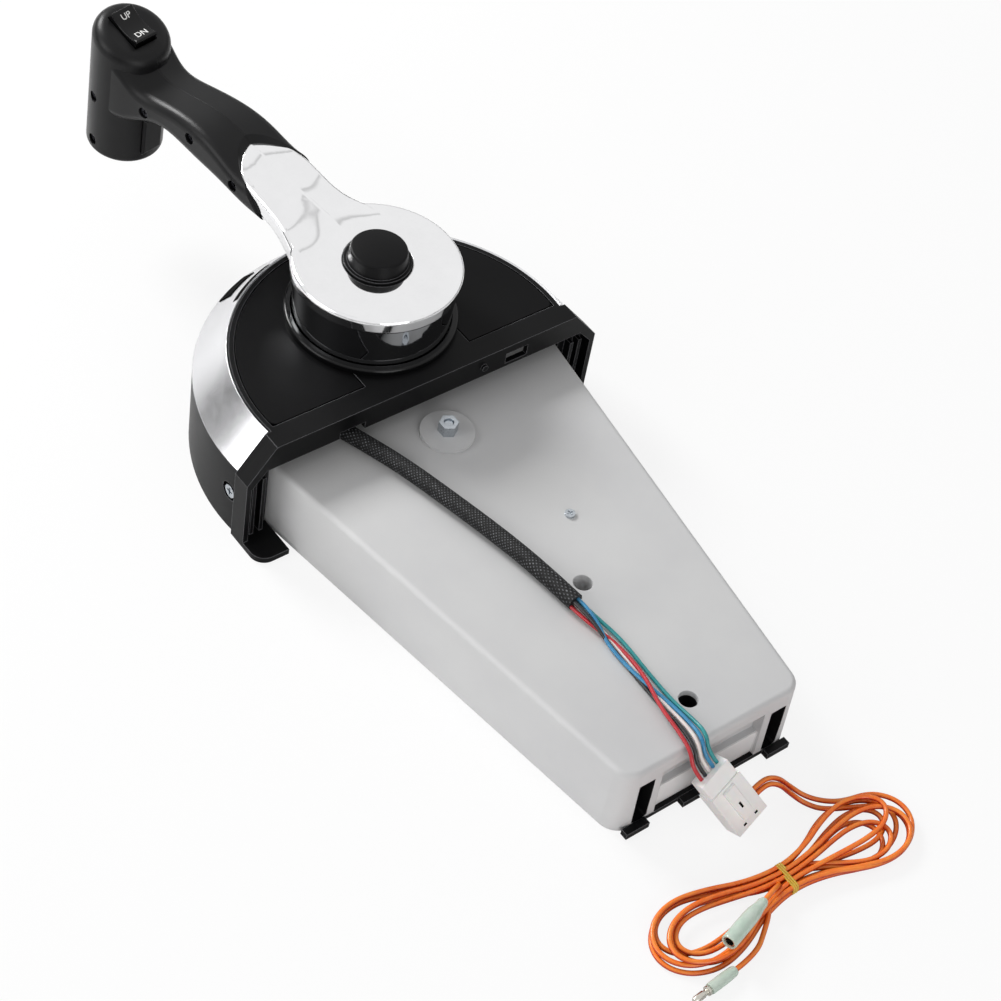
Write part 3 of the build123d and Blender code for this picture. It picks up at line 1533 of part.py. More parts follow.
with BuildPart() as face_screw:
    with BuildSketch(Plane.XY.offset(housing_height)):
        with Locations((face_screw_x, face_screw_y)):
            Circle(face_screw_head_radius)
    extrude(amount=face_screw_head_height)
    with BuildSketch(Plane.XY.offset(housing_height)):
        with Locations((face_screw_x, face_screw_y)):
            Circle(face_screw_shank_radius)
    extrude(amount=-face_screw_length)
    with BuildSketch(Plane.XY.offset(housing_height + face_screw_head_height)):
        with Locations((face_screw_x, face_screw_y)):
            Rectangle(2 * face_screw_shank_radius, face_screw_shank_radius / 2)
            Rectangle(face_screw_shank_radius / 2, 2 * face_screw_shank_radius)
    extrude(amount=-face_screw_head_height / 2, mode=Mode.SUBTRACT)
finish(face_screw, "face_screw", steel)

# Harness. Each tube is straight runs joined by arcs that are as large as the runs allow.
def arc_radii(route):
    """The radius of the arc at each inner point of a route."""
    points = [Vector(*place) for place in route]
    radii = []
    for before, here, after in zip(points, points[1:], points[2:]):
        turn = radians((here - before).get_angle(after - here))
        radii.append(0.45 * min((here - before).length, (after - here).length) / tan(turn / 2))
    return radii


def cord(name, route, radius, colour):
    """A closed tube along a route."""
    radii = arc_radii(route)
    with BuildPart() as tube:
        with BuildLine() as path:
            FilletPolyline(*route, radius=radii)
        start = Plane(route[0], z_dir=Vector(*route[1]) - Vector(*route[0]))
        with BuildSketch(start):
            Circle(radius)
        sweep()
    finish(tube, name, colour)
    length = sum(edge.length for edge in path.edges())
    expected = pi * radius**2 * length
    print(name, "length", round(length, 1), "volume ratio", round(tube.part.volume / expected, 4))
    print(name, "arc radii", [round(arc, 1) for arc in radii])


def shifted(place, *moves):
    """A place moved by vectors."""
    moved = Vector(*place)
    for move in moves:
        moved = moved + move
    return (moved.X, moved.Y, moved.Z)


cord("harness_sleeve", sleeve_route, sleeve_radius, black)

plug_axis = Vector(*plug_tip_direction).normalized()
plug_level = upward.cross(plug_axis).normalized()
plug_raised = plug_axis.cross(plug_level)
plug_across = plug_level * cos(radians(plug_roll)) + plug_raised * sin(radians(plug_roll))
plug_plane = Plane(plug_mouth, x_dir=plug_across, z_dir=plug_axis)
sleeve_end = Vector(*sleeve_route[-1])
sleeve_heading = (sleeve_end - Vector(*sleeve_route[-2])).normalized()
sleeve_across = upward.cross(sleeve_heading)
wire_row_share = 0.5
wire_colours = {
    "wire_red": (0.75, 0.1, 0.12),
    "wire_black": (0.05, 0.05, 0.05),
    "wire_white": (0.9, 0.9, 0.88),
    "wire_blue": (0.1, 0.3, 0.7),
    "wire_green": (0.05, 0.45, 0.35),
}
for index, (wire_name, colour) in enumerate(wire_colours.items()):
    place = (index - (len(wire_colours) - 1) / 2) * wire_pitch
    row = upward * (wire_pitch * wire_row_share * (1 if index % 2 else -1))
    begin = shifted(sleeve_route[-1], sleeve_across * (place * wire_row_share), row)
    route = [begin, shifted(begin, sleeve_heading * wire_run)]
    route += [shifted(point, Vector(0, place, 0)) for point in wire_route[:-1]]
    route.append(shifted(wire_route[-1], plug_across * place))
    route.append(shifted(plug_mouth, plug_across * place, plug_axis * -wire_run * wire_end_share))
    route.append(shifted(plug_mouth, plug_across * place))
    cord(wire_name, route, wire_radius, colour)

with BuildPart() as trim_plug:
    with BuildSketch(plug_plane):
        Rectangle(plug_width - plug_latch_height, plug_thickness - plug_latch_height)
    extrude(amount=plug_collar)
    with BuildSketch(plug_plane.offset(plug_collar)):
        Rectangle(plug_width, plug_thickness)
    extrude(amount=plug_length - plug_collar)
    with BuildSketch(plug_plane.offset(plug_collar + plug_latch_height)):
        with Locations((0, plug_thickness / 2)):
            Rectangle(plug_latch_width, 2 * plug_latch_height)
    extrude(amount=plug_length - plug_collar - plug_latch_width)
finish(trim_plug, "trim_plug", bright)

lead_start = Vector(*plug_mouth) + plug_axis * lead_outlet + plug_across * (plug_width / 2)
lead_step = plug_axis * (-lead_pitch / 2)
for lead_name, lead_places, step in (
    ("upper_lead", upper_lead_route, lead_step),
    ("lower_lead", lower_lead_route, lead_step * -1),
):
    begin = lead_start + step
    route = [(begin.X, begin.Y, begin.Z), shifted((begin.X, begin.Y, begin.Z), plug_across * lead_run)]
    cord(lead_name, route + lead_places, lead_radius, orange)
cord("female_tail", female_tail_route, lead_radius, orange)
cord("male_tail", male_tail_route, lead_radius, orange)

# Hank of spare lead: one closed solid of its outer shape, nipped where the tie holds it
with BuildPart() as lead_hank:
    with BuildSketch(Plane((hank_centre[0], hank_centre[1], 0))):
        for side in (-1, 1):
            with Locations((0, side * hank_lobe_offset)):
                Ellipse(hank_lobe_half_width, hank_half_length - hank_lobe_offset)
            with BuildLine():
                Polyline(
                    (-hank_waist_half_width, 0),
                    (hank_waist_half_width, 0),
                    (hank_shoulder_half_width, side * hank_shoulder),
                    (hank_shoulder_half_width, side * hank_lobe_offset),
                    (-hank_shoulder_half_width, side * hank_lobe_offset),
                    (-hank_shoulder_half_width, side * hank_shoulder),
                    close=True,
                )
            make_face()
    extrude(amount=hank_thickness)
    with BuildSketch(Plane.XZ.offset(-hank_centre[1] - tie_width / 2 - sliding_gap)):
        with Locations((hank_centre[0], hank_thickness / 2)):
            Rectangle(4 * hank_waist_half_width, 4 * hank_thickness)
            Rectangle(
                2 * (hank_waist_half_width - tie_inset),
                hank_thickness - 2 * tie_inset,
                mode=Mode.SUBTRACT,
            )
    extrude(amount=tie_width + 2 * sliding_gap, mode=Mode.SUBTRACT)
finish(lead_hank, "lead_hank", orange)

with BuildPart() as hank_tie:
    tie_gap_x = hank_waist_half_width - tie_inset + seat_gap
    tie_gap_z = hank_thickness - 2 * tie_inset + 2 * seat_gap
    with BuildSketch(Plane.XZ.offset(-hank_centre[1] - tie_width / 2)):
        with Locations((hank_centre[0], hank_thickness / 2)):
            Rectangle(2 * (tie_gap_x + tie_thickness), tie_gap_z + 2 * tie_thickness)
            Rectangle(2 * tie_gap_x, tie_gap_z, mode=Mode.SUBTRACT)
    extrude(amount=tie_width)
finish(hank_tie, "hank_tie", bright)

# Bullet connectors at the free ends
female_tail = Vector(*female_tail_route[-1])
female_heading = (female_tail - Vector(*female_tail_route[-2])).normalized()
with BuildPart() as female_bullet:
    with BuildSketch(Plane(female_tail, z_dir=female_heading)):
        Circle(female_bullet_radius)
    extrude(amount=female_bullet_length)
    with BuildSketch(Plane(female_tail + female_heading * female_bullet_length, z_dir=female_heading)):
        Circle(female_bore_radius)
    extrude(amount=-female_bore_depth, mode=Mode.SUBTRACT)
finish(female_bullet, "female_bullet", bright)

male_tail = Vector(*male_tail_route[-1])
male_heading = (male_tail - Vector(*male_tail_route[-2])).normalized()
male_plane = Plane(male_tail, z_dir=male_heading)
with BuildPart() as male_bullet:
    with BuildSketch(male_plane):
        Circle(male_bullet_radius)
    extrude(amount=male_bullet_length)
    with BuildSketch(male_plane.offset(male_bullet_length)):
        Circle(male_pin_radius)
    extrude(amount=male_pin_length)
    fillet(edges().filter_by(GeomType.CIRCLE).sort_by(Axis.Y)[0], radius=male_pin_neck)
finish(male_bullet, "male_bullet", bright)
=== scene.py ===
import bpy
from math import asin, cos, pi, radians, sin, sqrt
from mathutils import Matrix, Vector


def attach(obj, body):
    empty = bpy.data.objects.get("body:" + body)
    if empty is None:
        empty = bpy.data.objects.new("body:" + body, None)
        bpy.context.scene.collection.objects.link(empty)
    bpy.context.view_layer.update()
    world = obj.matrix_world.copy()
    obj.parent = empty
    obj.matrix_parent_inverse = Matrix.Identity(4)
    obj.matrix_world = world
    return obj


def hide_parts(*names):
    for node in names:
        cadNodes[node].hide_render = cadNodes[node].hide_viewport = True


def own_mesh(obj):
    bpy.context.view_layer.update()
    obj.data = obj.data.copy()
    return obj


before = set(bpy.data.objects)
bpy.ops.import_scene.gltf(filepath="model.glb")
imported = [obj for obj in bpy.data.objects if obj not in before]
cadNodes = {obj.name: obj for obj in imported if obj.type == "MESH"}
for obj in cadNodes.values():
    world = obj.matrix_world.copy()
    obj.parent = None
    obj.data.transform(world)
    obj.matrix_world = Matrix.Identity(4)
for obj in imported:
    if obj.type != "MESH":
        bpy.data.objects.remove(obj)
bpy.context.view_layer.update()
scene = bpy.context.scene
millimetre = 0.001      # the pieces' own values are in millimetres and degrees
upward = Vector((0, 0, 1))
print("frame loaded,", len(cadNodes), "solids")


# Small helpers used by every piece

def linearColour(code):
    # sRGB hex to the linear values that Blender works in
    parts = [int(code[i:i + 2], 16) / 255 for i in (1, 3, 5)]
    return tuple(v / 12.92 if v <= 0.04045 else ((v + 0.055) / 1.055) ** 2.4 for v in parts) + (1.0,)


def addNode(tree, kind, settings=None, links=None):
    # settings: an input by name or number, a ramp's stops, or a property; links: an input and its source
    node = tree.nodes.new(kind)
    for key, value in (settings or {}).items():
        if key == "stops":
            ramp = node.color_ramp.elements
            while len(ramp) < len(value):
                ramp.new(0.5)
            for stop, (place, colour) in zip(ramp, value):
                stop.position = place
                stop.color = colour
        elif isinstance(key, int) or key in node.inputs:
            node.inputs[key].default_value = value
        else:
            setattr(node, key, value)
    for key, source in (links or {}).items():
        tree.links.new(source, node.inputs[key])
    return node


def colourStops(look, places):
    return [(places[0], linearColour(look["colour"])), (places[1], linearColour(look["secondColour"]))]


def greyStops(greys):
    return [(place, (level, level, level, 1)) for place, level in greys]


def patternScale(size):
    # cells per metre of a pattern whose real size is given in millimetres
    return 1000 / size


def newObject(name, data, material=None):
    piece = bpy.data.objects.new(name, data)
    scene.collection.objects.link(piece)
    if material:
        data.materials.append(material)
    return piece


def newMesh(name, points, faces, material, smooth=True):
    mesh = bpy.data.meshes.new(name)
    mesh.from_pydata([Vector(p) * millimetre for p in points], [], faces)
    mesh.validate()
    if smooth:
        mesh.shade_smooth()
    return newObject(name, mesh, material)


def ringFaces(rings, sides, closed=False):
    # faces between rings of points: closed joins the last ring to the first, or else both ends are capped
    faces = []
    for ring in range(rings if closed else rings - 1):
        beyond = (ring + 1) % rings
        for number in range(sides):
            after = (number + 1) % sides
            faces.append((ring * sides + number, ring * sides + after, beyond * sides + after,
                          beyond * sides + number))
    if not closed:
        faces += [tuple(reversed(range(sides))), tuple(range((rings - 1) * sides, rings * sides))]
    return faces


# Camera

cameraView = {
    "azimuth": 44.864,       # degrees round the object
    "elevation": 47.981,
    "roll": 11.396,
    "target": (0.1012, 0.0012, 0.03),
    "distance": 1.0617,      # metres
    "lens": 88.61,           # millimetres, as the width of the frame
    "frameWidth": 36,
    "near": 0.01,
    "far": 50,
}


def placeCamera(view):
    az, el, roll = (radians(view[key]) for key in ("azimuth", "elevation", "roll"))
    back = Vector((sin(az) * cos(el), -cos(az) * cos(el), sin(el)))
    right = Vector((cos(az), sin(az), 0))
    up = back.cross(right)
    rolledRight = right * cos(roll) + up * sin(roll)
    rolledUp = up * cos(roll) - right * sin(roll)
    lens = bpy.data.cameras.new("studioCamera")
    lens.sensor_width = view["frameWidth"]
    lens.lens = view["lens"]
    lens.clip_start = view["near"]
    lens.clip_end = view["far"]
    camera = bpy.data.objects.new("studioCamera", lens)
    scene.collection.objects.link(camera)
    turn = Matrix((rolledRight, rolledUp, back)).transposed().to_4x4()
    camera.matrix_world = Matrix.Translation(Vector(view["target"]) + back * view["distance"]) @ turn
    scene.camera = camera


placeCamera(cameraView)
print("camera placed")


# Material families

moulding = {
    "mottleDetail": 4.0, "mottleRoughness": 0.55, "grainDetail": 3.0, "grainRoughness": 0.6,
    "tones": (0.36, 0.66),      # where the mottle goes from the first colour to the second
    "gloss": (0.3, 0.7),        # and from the low roughness to the high one
    "flank": (0.8, 0.15),       # how far a surface faces up where the flank's painted shade begins and is full
    "edge": (0.995, 0.9),       # cosine of a rounded edge's turn where its painted highlight begins and is full
    "edgeSamples": 4,
}
plating = {
    "waveDetail": 1.0, "markDetail": 5.0, "markRoughness": 0.7,
    "tones": (0.3, 0.7), "gloss": (0.3, 0.7), "edgeSamples": 4,
}


def startMaterial(name):
    material = bpy.data.materials.new(name)
    material.use_nodes = True
    material.node_tree.nodes.clear()
    return material, material.node_tree


def boxShade(tree, place, skin, low, high, shade):
    # another colour where the surface lies inside a box, with corners in millimetres
    parts = addNode(tree, "ShaderNodeSeparateXYZ", {}, {0: place.outputs["Object"]})
    inside = None
    for axis in range(3):
        middle, half = (low[axis] + high[axis]) / 2, (high[axis] - low[axis]) / 2
        within = addNode(tree, "ShaderNodeMath",
                         {"operation": "COMPARE", 1: middle * millimetre, 2: half * millimetre},
                         {0: parts.outputs[axis]}).outputs[0]
        if inside:
            within = addNode(tree, "ShaderNodeMath", {"operation": "MULTIPLY"},
                             {0: inside, 1: within}).outputs[0]
        inside = within
    return addNode(tree, "ShaderNodeMix", {"data_type": "RGBA", 7: linearColour(shade)},
                   {0: inside, 6: skin}).outputs[2]


def mouldedSurface(name, look):
    # paint, plastic, rubber and wire skins: mottled colour, a fine grain and softened edges
    material, tree = startMaterial(name)
    place = addNode(tree, "ShaderNodeTexCoord")
    mottle = addNode(tree, "ShaderNodeTexNoise",
                     {"Scale": patternScale(look["mottleSize"]), "Detail": moulding["mottleDetail"],
                      "Roughness": moulding["mottleRoughness"]},
                     {"Vector": place.outputs["Object"]})
    colour = addNode(tree, "ShaderNodeValToRGB", {"stops": colourStops(look, moulding["tones"])},
                     {"Fac": mottle.outputs["Fac"]})
    grain = addNode(tree, "ShaderNodeTexNoise",
                    {"Scale": patternScale(look["grainSize"]), "Detail": moulding["grainDetail"],
                     "Roughness": moulding["grainRoughness"]},
                    {"Vector": place.outputs["Object"]})
    low, high = look["roughness"]
    begin, end = moulding["gloss"]
    rough = addNode(tree, "ShaderNodeMapRange",
                    {"From Min": begin, "From Max": end, "To Min": low, "To Max": high},
                    {"Value": mottle.outputs["Fac"]})
    relief = addNode(tree, "ShaderNodeBump",
                     {"Strength": look["grainStrength"], "Distance": look["grainHeight"] * millimetre},
                     {"Height": grain.outputs["Fac"]})
    if look.get("edgeRadius"):
        edge = addNode(tree, "ShaderNodeBevel",
                       {"samples": moulding["edgeSamples"], "Radius": look["edgeRadius"] * millimetre})
        tree.links.new(edge.outputs["Normal"], relief.inputs["Normal"])
    skin = colour.outputs["Color"]
    # painted shade: faces turned sideways take a darker colour, by how far they face up
    if look.get("paintedFlankShade"):
        facing = addNode(tree, "ShaderNodeNewGeometry")
        upness = addNode(tree, "ShaderNodeSeparateXYZ", {}, {0: facing.outputs["Normal"]})
        begin, end = moulding["flank"]
        flank = addNode(tree, "ShaderNodeMapRange", {"From Min": begin, "From Max": end},
                        {"Value": upness.outputs["Z"]})
        skin = addNode(tree, "ShaderNodeMix", {"data_type": "RGBA", 7: linearColour(look["paintedFlankShade"])},
                       {0: flank.outputs["Result"], 6: skin}).outputs[2]
    # painted highlight: the turn of a rounded edge takes a paler colour
    if look.get("paintedEdgeHighlight"):
        flat = addNode(tree, "ShaderNodeNewGeometry")
        turned = addNode(tree, "ShaderNodeVectorMath", {"operation": "DOT_PRODUCT"},
                         {0: edge.outputs["Normal"], 1: flat.outputs["Normal"]})
        begin, end = moulding["edge"]
        edgeHighlightShare = addNode(tree, "ShaderNodeMapRange", {"From Min": begin, "From Max": end},
                        {"Value": turned.outputs["Value"]})
        skin = addNode(tree, "ShaderNodeMix", {"data_type": "RGBA", 7: linearColour(look["paintedEdgeHighlight"])},
                       {0: edgeHighlightShare.outputs["Result"], 6: skin}).outputs[2]
    # colours inside boxes: painted shade, or a part's own colour such as the gate plate
    for low, high, shade in look.get("paintedShadeAndPlateBoxes", ()):
        skin = boxShade(tree, place, skin, low, high, shade)
    shader = addNode(tree, "ShaderNodeBsdfPrincipled",
                     {"IOR": look["ior"], "Subsurface Weight": look.get("depth", 0.0),
                      "Subsurface Scale": look.get("depthSize", 1.0) * millimetre,
                      "Specular IOR Level": look.get("specular", 0.5)},
                     {"Base Color": skin, "Roughness": rough.outputs["Result"],
                      "Normal": relief.outputs["Normal"]})
    addNode(tree, "ShaderNodeOutputMaterial", {}, {"Surface": shader.outputs["BSDF"]})
    return material


def platedSurface(name, look):
    # bare and plated metal: a slow wave from polishing, fine marks in the gloss
    material, tree = startMaterial(name)
    place = addNode(tree, "ShaderNodeTexCoord")
    wave = addNode(tree, "ShaderNodeTexNoise",
                   {"Scale": patternScale(look["waveSize"]), "Detail": plating["waveDetail"]},
                   {"Vector": place.outputs["Object"]})
    marks = addNode(tree, "ShaderNodeTexNoise",
                    {"Scale": patternScale(look["markSize"]), "Detail": plating["markDetail"],
                     "Roughness": plating["markRoughness"]},
                    {"Vector": place.outputs["Object"]})
    low, high = look["roughness"]
    begin, end = plating["gloss"]
    rough = addNode(tree, "ShaderNodeMapRange",
                    {"From Min": begin, "From Max": end, "To Min": low, "To Max": high},
                    {"Value": marks.outputs["Fac"]})
    colour = addNode(tree, "ShaderNodeValToRGB", {"stops": colourStops(look, plating["tones"])},
                     {"Fac": marks.outputs["Fac"]})
    edge = addNode(tree, "ShaderNodeBevel",
                   {"samples": plating["edgeSamples"], "Radius": look["edgeRadius"] * millimetre})
    relief = addNode(tree, "ShaderNodeBump",
                     {"Strength": 1.0, "Distance": look["waveHeight"] * millimetre},
                     {"Height": wave.outputs["Fac"], "Normal": edge.outputs["Normal"]})
    shader = addNode(tree, "ShaderNodeBsdfPrincipled", {"Metallic": 1.0},
                     {"Base Color": colour.outputs["Color"], "Roughness": rough.outputs["Result"],
                      "Normal": relief.outputs["Normal"]})
    addNode(tree, "ShaderNodeOutputMaterial", {}, {"Surface": shader.outputs["BSDF"]})
    return material


# Polyurethane paint sprayed on a die-cast alloy housing: satin, with a faint orange peel. Painted shade
# makes the inside of the end, its holes and the cable windows near black; the gate plate between the windows
# a lighter grey.
housingPaint = mouldedSurface("housingPaint", {
    "colour": "#cbcbcc", "secondColour": "#d2d2d2", "roughness": (0.40, 0.47), "ior": 1.5,
    "mottleSize": 60, "grainSize": 1.4, "grainHeight": 0.05, "grainStrength": 0.35, "edgeRadius": 0.6,
    # the first three boxes are painted shade, near black; the last is the gate plate's own lighter grey
    "paintedShadeAndPlateBoxes": (((200, -40, -1), (241.3, 40, 33.6), "#1a1a1b"),
              ((240, -39.1, 2.4), (249.7, -30.9, 27.6), "#131314"),
              ((240, 30.9, 2.4), (249.7, 39.1, 27.6), "#131314"),
              ((247.4, -27, 2.4), (248.6, 27, 16.6), "#ededed"))})
# Injection-moulded ASA with a fine spark-eroded texture: satin black that goes grey at grazing light, with a
# painted highlight, pale grey, along its rounded edges.
texturedPlastic = mouldedSurface("texturedPlastic", {
    "colour": "#0c0c0d", "secondColour": "#101011", "roughness": (0.34, 0.42), "ior": 1.5, "specular": 0.11,
    "mottleSize": 45, "grainSize": 0.7, "grainHeight": 0.03, "grainStrength": 0.35, "edgeRadius": 0.5,
    "paintedEdgeHighlight": "#77777a"})
# The face plate, from the same mould texture, has sharp edges that stay dark.
platePlastic = mouldedSurface("platePlastic", {
    "colour": "#0b0b0c", "secondColour": "#0f0f10", "roughness": (0.34, 0.42), "ior": 1.5, "specular": 0.08,
    "mottleSize": 45, "grainSize": 0.7, "grainHeight": 0.03, "grainStrength": 0.35, "edgeRadius": 0.3})
# The same plastic from a polished mould: deep black with sharp edge lights.
polishedPlastic = mouldedSurface("polishedPlastic", {
    "colour": "#0a0a0b", "secondColour": "#0d0d0e", "roughness": (0.12, 0.18), "ior": 1.52, "specular": 0.22,
    "mottleSize": 40, "grainSize": 2.5, "grainHeight": 0.02, "grainStrength": 0.2, "edgeRadius": 0.5})
# Matt black film of the insert and the strip beside it: hardly any gloss, even at grazing light.
mattFilm = mouldedSurface("mattFilm", {
    "colour": "#0c0c0c", "secondColour": "#101010", "roughness": (0.7, 0.8), "ior": 1.45, "specular": 0.02,
    "mottleSize": 10, "grainSize": 0.5, "grainHeight": 0.02, "grainStrength": 0.3})
# Soft-feel elastomer moulded over the grip: dull black with broad grey lights.
gripElastomer = mouldedSurface("gripElastomer", {
    "colour": "#0f0f10", "secondColour": "#141415", "roughness": (0.30, 0.38), "ior": 1.5, "specular": 0.2,
    "mottleSize": 30, "grainSize": 0.8, "grainHeight": 0.03, "grainStrength": 0.3, "edgeRadius": 0.5})
# Black oxide on the grip's screws: near black with a dull metal light.
blackOxide = platedSurface("blackOxide", {
    "colour": "#26262a", "secondColour": "#34343a", "roughness": (0.28, 0.40),
    "waveSize": 5, "waveHeight": 0.02, "markSize": 1.0, "edgeRadius": 0.25})
# Nickel-chrome plate on a zinc casting, buffed: near white, mirror sharp, slightly wavy.
chromePlate = platedSurface("chromePlate", {
    "colour": "#ededee", "secondColour": "#f1f1f2", "roughness": (0.05, 0.07),
    "waveSize": 46, "waveHeight": 0.34, "markSize": 14.0, "edgeRadius": 0.7})
# Chrome-plated ABS of the trim band: a softer mirror than plate on metal.
bandChrome = platedSurface("bandChrome", {
    "colour": "#dcdcde", "secondColour": "#e2e2e4", "roughness": (0.22, 0.28),
    "waveSize": 30, "waveHeight": 0.2, "markSize": 14.0, "edgeRadius": 0.4})
# Nickel-chrome plate on the deep-drawn skirt, a little darker than the arm's.
skirtChrome = platedSurface("skirtChrome", {
    "colour": "#b9babc", "secondColour": "#c0c1c3", "roughness": (0.05, 0.07),
    "waveSize": 40, "waveHeight": 0.2, "markSize": 16.0, "edgeRadius": 0.4})
# Zinc-plated steel: bright grey with a slight blue cast and dull patches.
zincSteel = platedSurface("zincSteel", {
    "colour": "#aeb4ba", "secondColour": "#c6cbd0", "roughness": (0.24, 0.40),
    "waveSize": 6, "waveHeight": 0.02, "markSize": 1.2, "edgeRadius": 0.25})
# Leaded bronze for the bushes, turned.
turnedBronze = platedSurface("turnedBronze", {
    "colour": "#a98650", "secondColour": "#b9965c", "roughness": (0.26, 0.38),
    "waveSize": 5, "waveHeight": 0.02, "markSize": 1.0, "edgeRadius": 0.25})
# Tin-plated brass of the cable connectors.
tinnedBrass = platedSurface("tinnedBrass", {
    "colour": "#c2bfb6", "secondColour": "#d4d1c8", "roughness": (0.18, 0.30),
    "waveSize": 4, "waveHeight": 0.02, "markSize": 0.8, "edgeRadius": 0.15})
# Nitrile bellows, moulded: dull black.
bellowsNitrile = mouldedSurface("bellowsNitrile", {
    "colour": "#161616", "secondColour": "#1c1c1c", "roughness": (0.62, 0.74), "ior": 1.5,
    "mottleSize": 12, "grainSize": 0.6, "grainHeight": 0.03, "grainStrength": 0.4, "edgeRadius": 0.2})
# Nylon 66 connector body: warm white, a little light goes in.
connectorNylon = mouldedSurface("connectorNylon", {
    "colour": "#f8f8f6", "secondColour": "#fbfbfa", "roughness": (0.32, 0.42), "ior": 1.53,
    "mottleSize": 14, "grainSize": 0.5, "grainHeight": 0.02, "grainStrength": 0.3, "edgeRadius": 0.4,
    "depth": 0.15, "depthSize": 1.0})


def wireSkin(name, colour, secondColour, paintedFlankShade=None):
    # extruded PVC insulation: glossy, with faint drag marks
    return mouldedSurface(name, {
        "colour": colour, "secondColour": secondColour, "roughness": (0.24, 0.34), "ior": 1.53,
        "mottleSize": 9, "grainSize": 0.7, "grainHeight": 0.02, "grainStrength": 0.35,
        "depth": 0.08, "depthSize": 0.5, "paintedFlankShade": paintedFlankShade})


redWire = wireSkin("redWire", "#b4202b", "#c22b35")
blackWire = wireSkin("blackWire", "#17181a", "#212224")
whiteWire = wireSkin("whiteWire", "#e2d6d2", "#eee5e1")
blueWire = wireSkin("blueWire", "#2f80ad", "#3b8fba")
greenWire = wireSkin("greenWire", "#22898c", "#2f999a")
# painted shade: the leads' flanks are made a deeper red-brown, standing in for the shade the strands cast on
# one another
orangeLead = wireSkin("orangeLead", "#fb7318", "#ff9030", "#b4240a")
tieYellow = wireSkin("tieYellow", "#cfa52a", "#e3c04a")


def braidedSleeve():
    # black polyester braid pulled over the wires: crossed yarns, with a painted highlight, pale grey specks,
    # where each crosses over the next
    look = {"colour": "#09090a", "secondColour": "#77797c", "tones": (0.22, 0.6),
            "roughness": 0.6, "ior": 1.5, "specular": 0.3,
            "length": 138.8, "pitch": 1.9, "yarns": 13,      # length and pitch in mm
            "speckSize": 2.2, "speckDetail": 2.0, "distortion": 0.4,
            "reliefStrength": 0.7, "reliefHeight": 0.3}
    oneWave = 2 * pi / 10      # a wave texture runs ten radians a unit
    material, tree = startMaterial("braidedSleeve")
    place = addNode(tree, "ShaderNodeTexCoord")
    heights = []
    for turn in (1, -1):
        wound = addNode(tree, "ShaderNodeMapping",
                        {"Scale": (look["length"] / look["pitch"], turn * look["yarns"], 0)},
                        {"Vector": place.outputs["UV"]})
        heights.append(addNode(tree, "ShaderNodeTexWave",
                               {"bands_direction": "DIAGONAL", "Scale": oneWave,
                                "Distortion": look["distortion"], "Detail": 0.0},
                               {"Vector": wound.outputs["Vector"]}))
    weave = addNode(tree, "ShaderNodeMath", {"operation": "MULTIPLY"},
                    {0: heights[0].outputs["Fac"], 1: heights[1].outputs["Fac"]})
    speck = addNode(tree, "ShaderNodeTexNoise",
                    {"Scale": patternScale(look["speckSize"]), "Detail": look["speckDetail"]},
                    {"Vector": place.outputs["Object"]})
    # painted highlight: the weave's crossings, broken up by the specks, take the pale grey second colour
    light = addNode(tree, "ShaderNodeMath", {"operation": "MULTIPLY"},
                    {0: weave.outputs[0], 1: speck.outputs["Fac"]})
    colour = addNode(tree, "ShaderNodeValToRGB", {"stops": colourStops(look, look["tones"])},
                     {"Fac": light.outputs[0]})
    relief = addNode(tree, "ShaderNodeBump",
                     {"Strength": look["reliefStrength"], "Distance": look["reliefHeight"] * millimetre},
                     {"Height": weave.outputs[0]})
    shader = addNode(tree, "ShaderNodeBsdfPrincipled",
                     {"Roughness": look["roughness"], "IOR": look["ior"],
                      "Specular IOR Level": look["specular"]},
                     {"Base Color": colour.outputs["Color"], "Normal": relief.outputs["Normal"]})
    addNode(tree, "ShaderNodeOutputMaterial", {}, {"Surface": shader.outputs["BSDF"]})
    return material


sleeveBraid = braidedSleeve()


def clearVinyl():
    # heat-shrunk PVC over the bullets: pale green, clear enough to show the crimp under it
    look = {"colour": "#d6eadb", "secondColour": "#e6f4e8", "tones": (0.3, 0.7),
            "hazeSize": 3.0, "hazeDetail": 3.0, "roughness": 0.16, "ior": 1.53, "transmission": 0.3}
    material, tree = startMaterial("clearVinyl")
    place = addNode(tree, "ShaderNodeTexCoord")
    haze = addNode(tree, "ShaderNodeTexNoise",
                   {"Scale": patternScale(look["hazeSize"]), "Detail": look["hazeDetail"]},
                   {"Vector": place.outputs["Object"]})
    colour = addNode(tree, "ShaderNodeValToRGB", {"stops": colourStops(look, look["tones"])},
                     {"Fac": haze.outputs["Fac"]})
    shader = addNode(tree, "ShaderNodeBsdfPrincipled",
                     {"Roughness": look["roughness"], "IOR": look["ior"],
                      "Transmission Weight": look["transmission"]},
                     {"Base Color": colour.outputs["Color"]})
    addNode(tree, "ShaderNodeOutputMaterial", {}, {"Surface": shader.outputs["BSDF"]})
    return material


vinylSleeve = clearVinyl()
print("materials made")


# Cords, which come before the rest

cordDetail = {"roundSteps": 5, "lengthSteps": 10, "order": 3}


def cordCurve(name, points, radius, material):
    # a round cord along a route, and the length of its middle line
    curve = bpy.data.curves.new(name, "CURVE")
    curve.dimensions = "3D"
    curve.bevel_resolution = cordDetail["roundSteps"]
    curve.resolution_u = cordDetail["lengthSteps"]
    curve.use_fill_caps = True
    line = curve.splines.new("NURBS")
    line.points.add(len(points) - 1)
    for point, place in zip(line.points, points):
        point.co = (*(Vector(place) * millimetre), 1)
    line.order_u = cordDetail["order"]
    line.use_endpoint_u = True
    piece = newObject(name, curve, material)
    bare = bpy.data.meshes.new_from_object(piece)      # still without thickness
    path = [vertex.co.copy() for vertex in bare.vertices]
    bpy.data.meshes.remove(bare)
    curve.bevel_depth = radius * millimetre
    run = sum((b - a).length for a, b in zip(path, path[1:]))
    print("cord", name, "runs", round(run / millimetre, 1), "mm")
    return piece, run


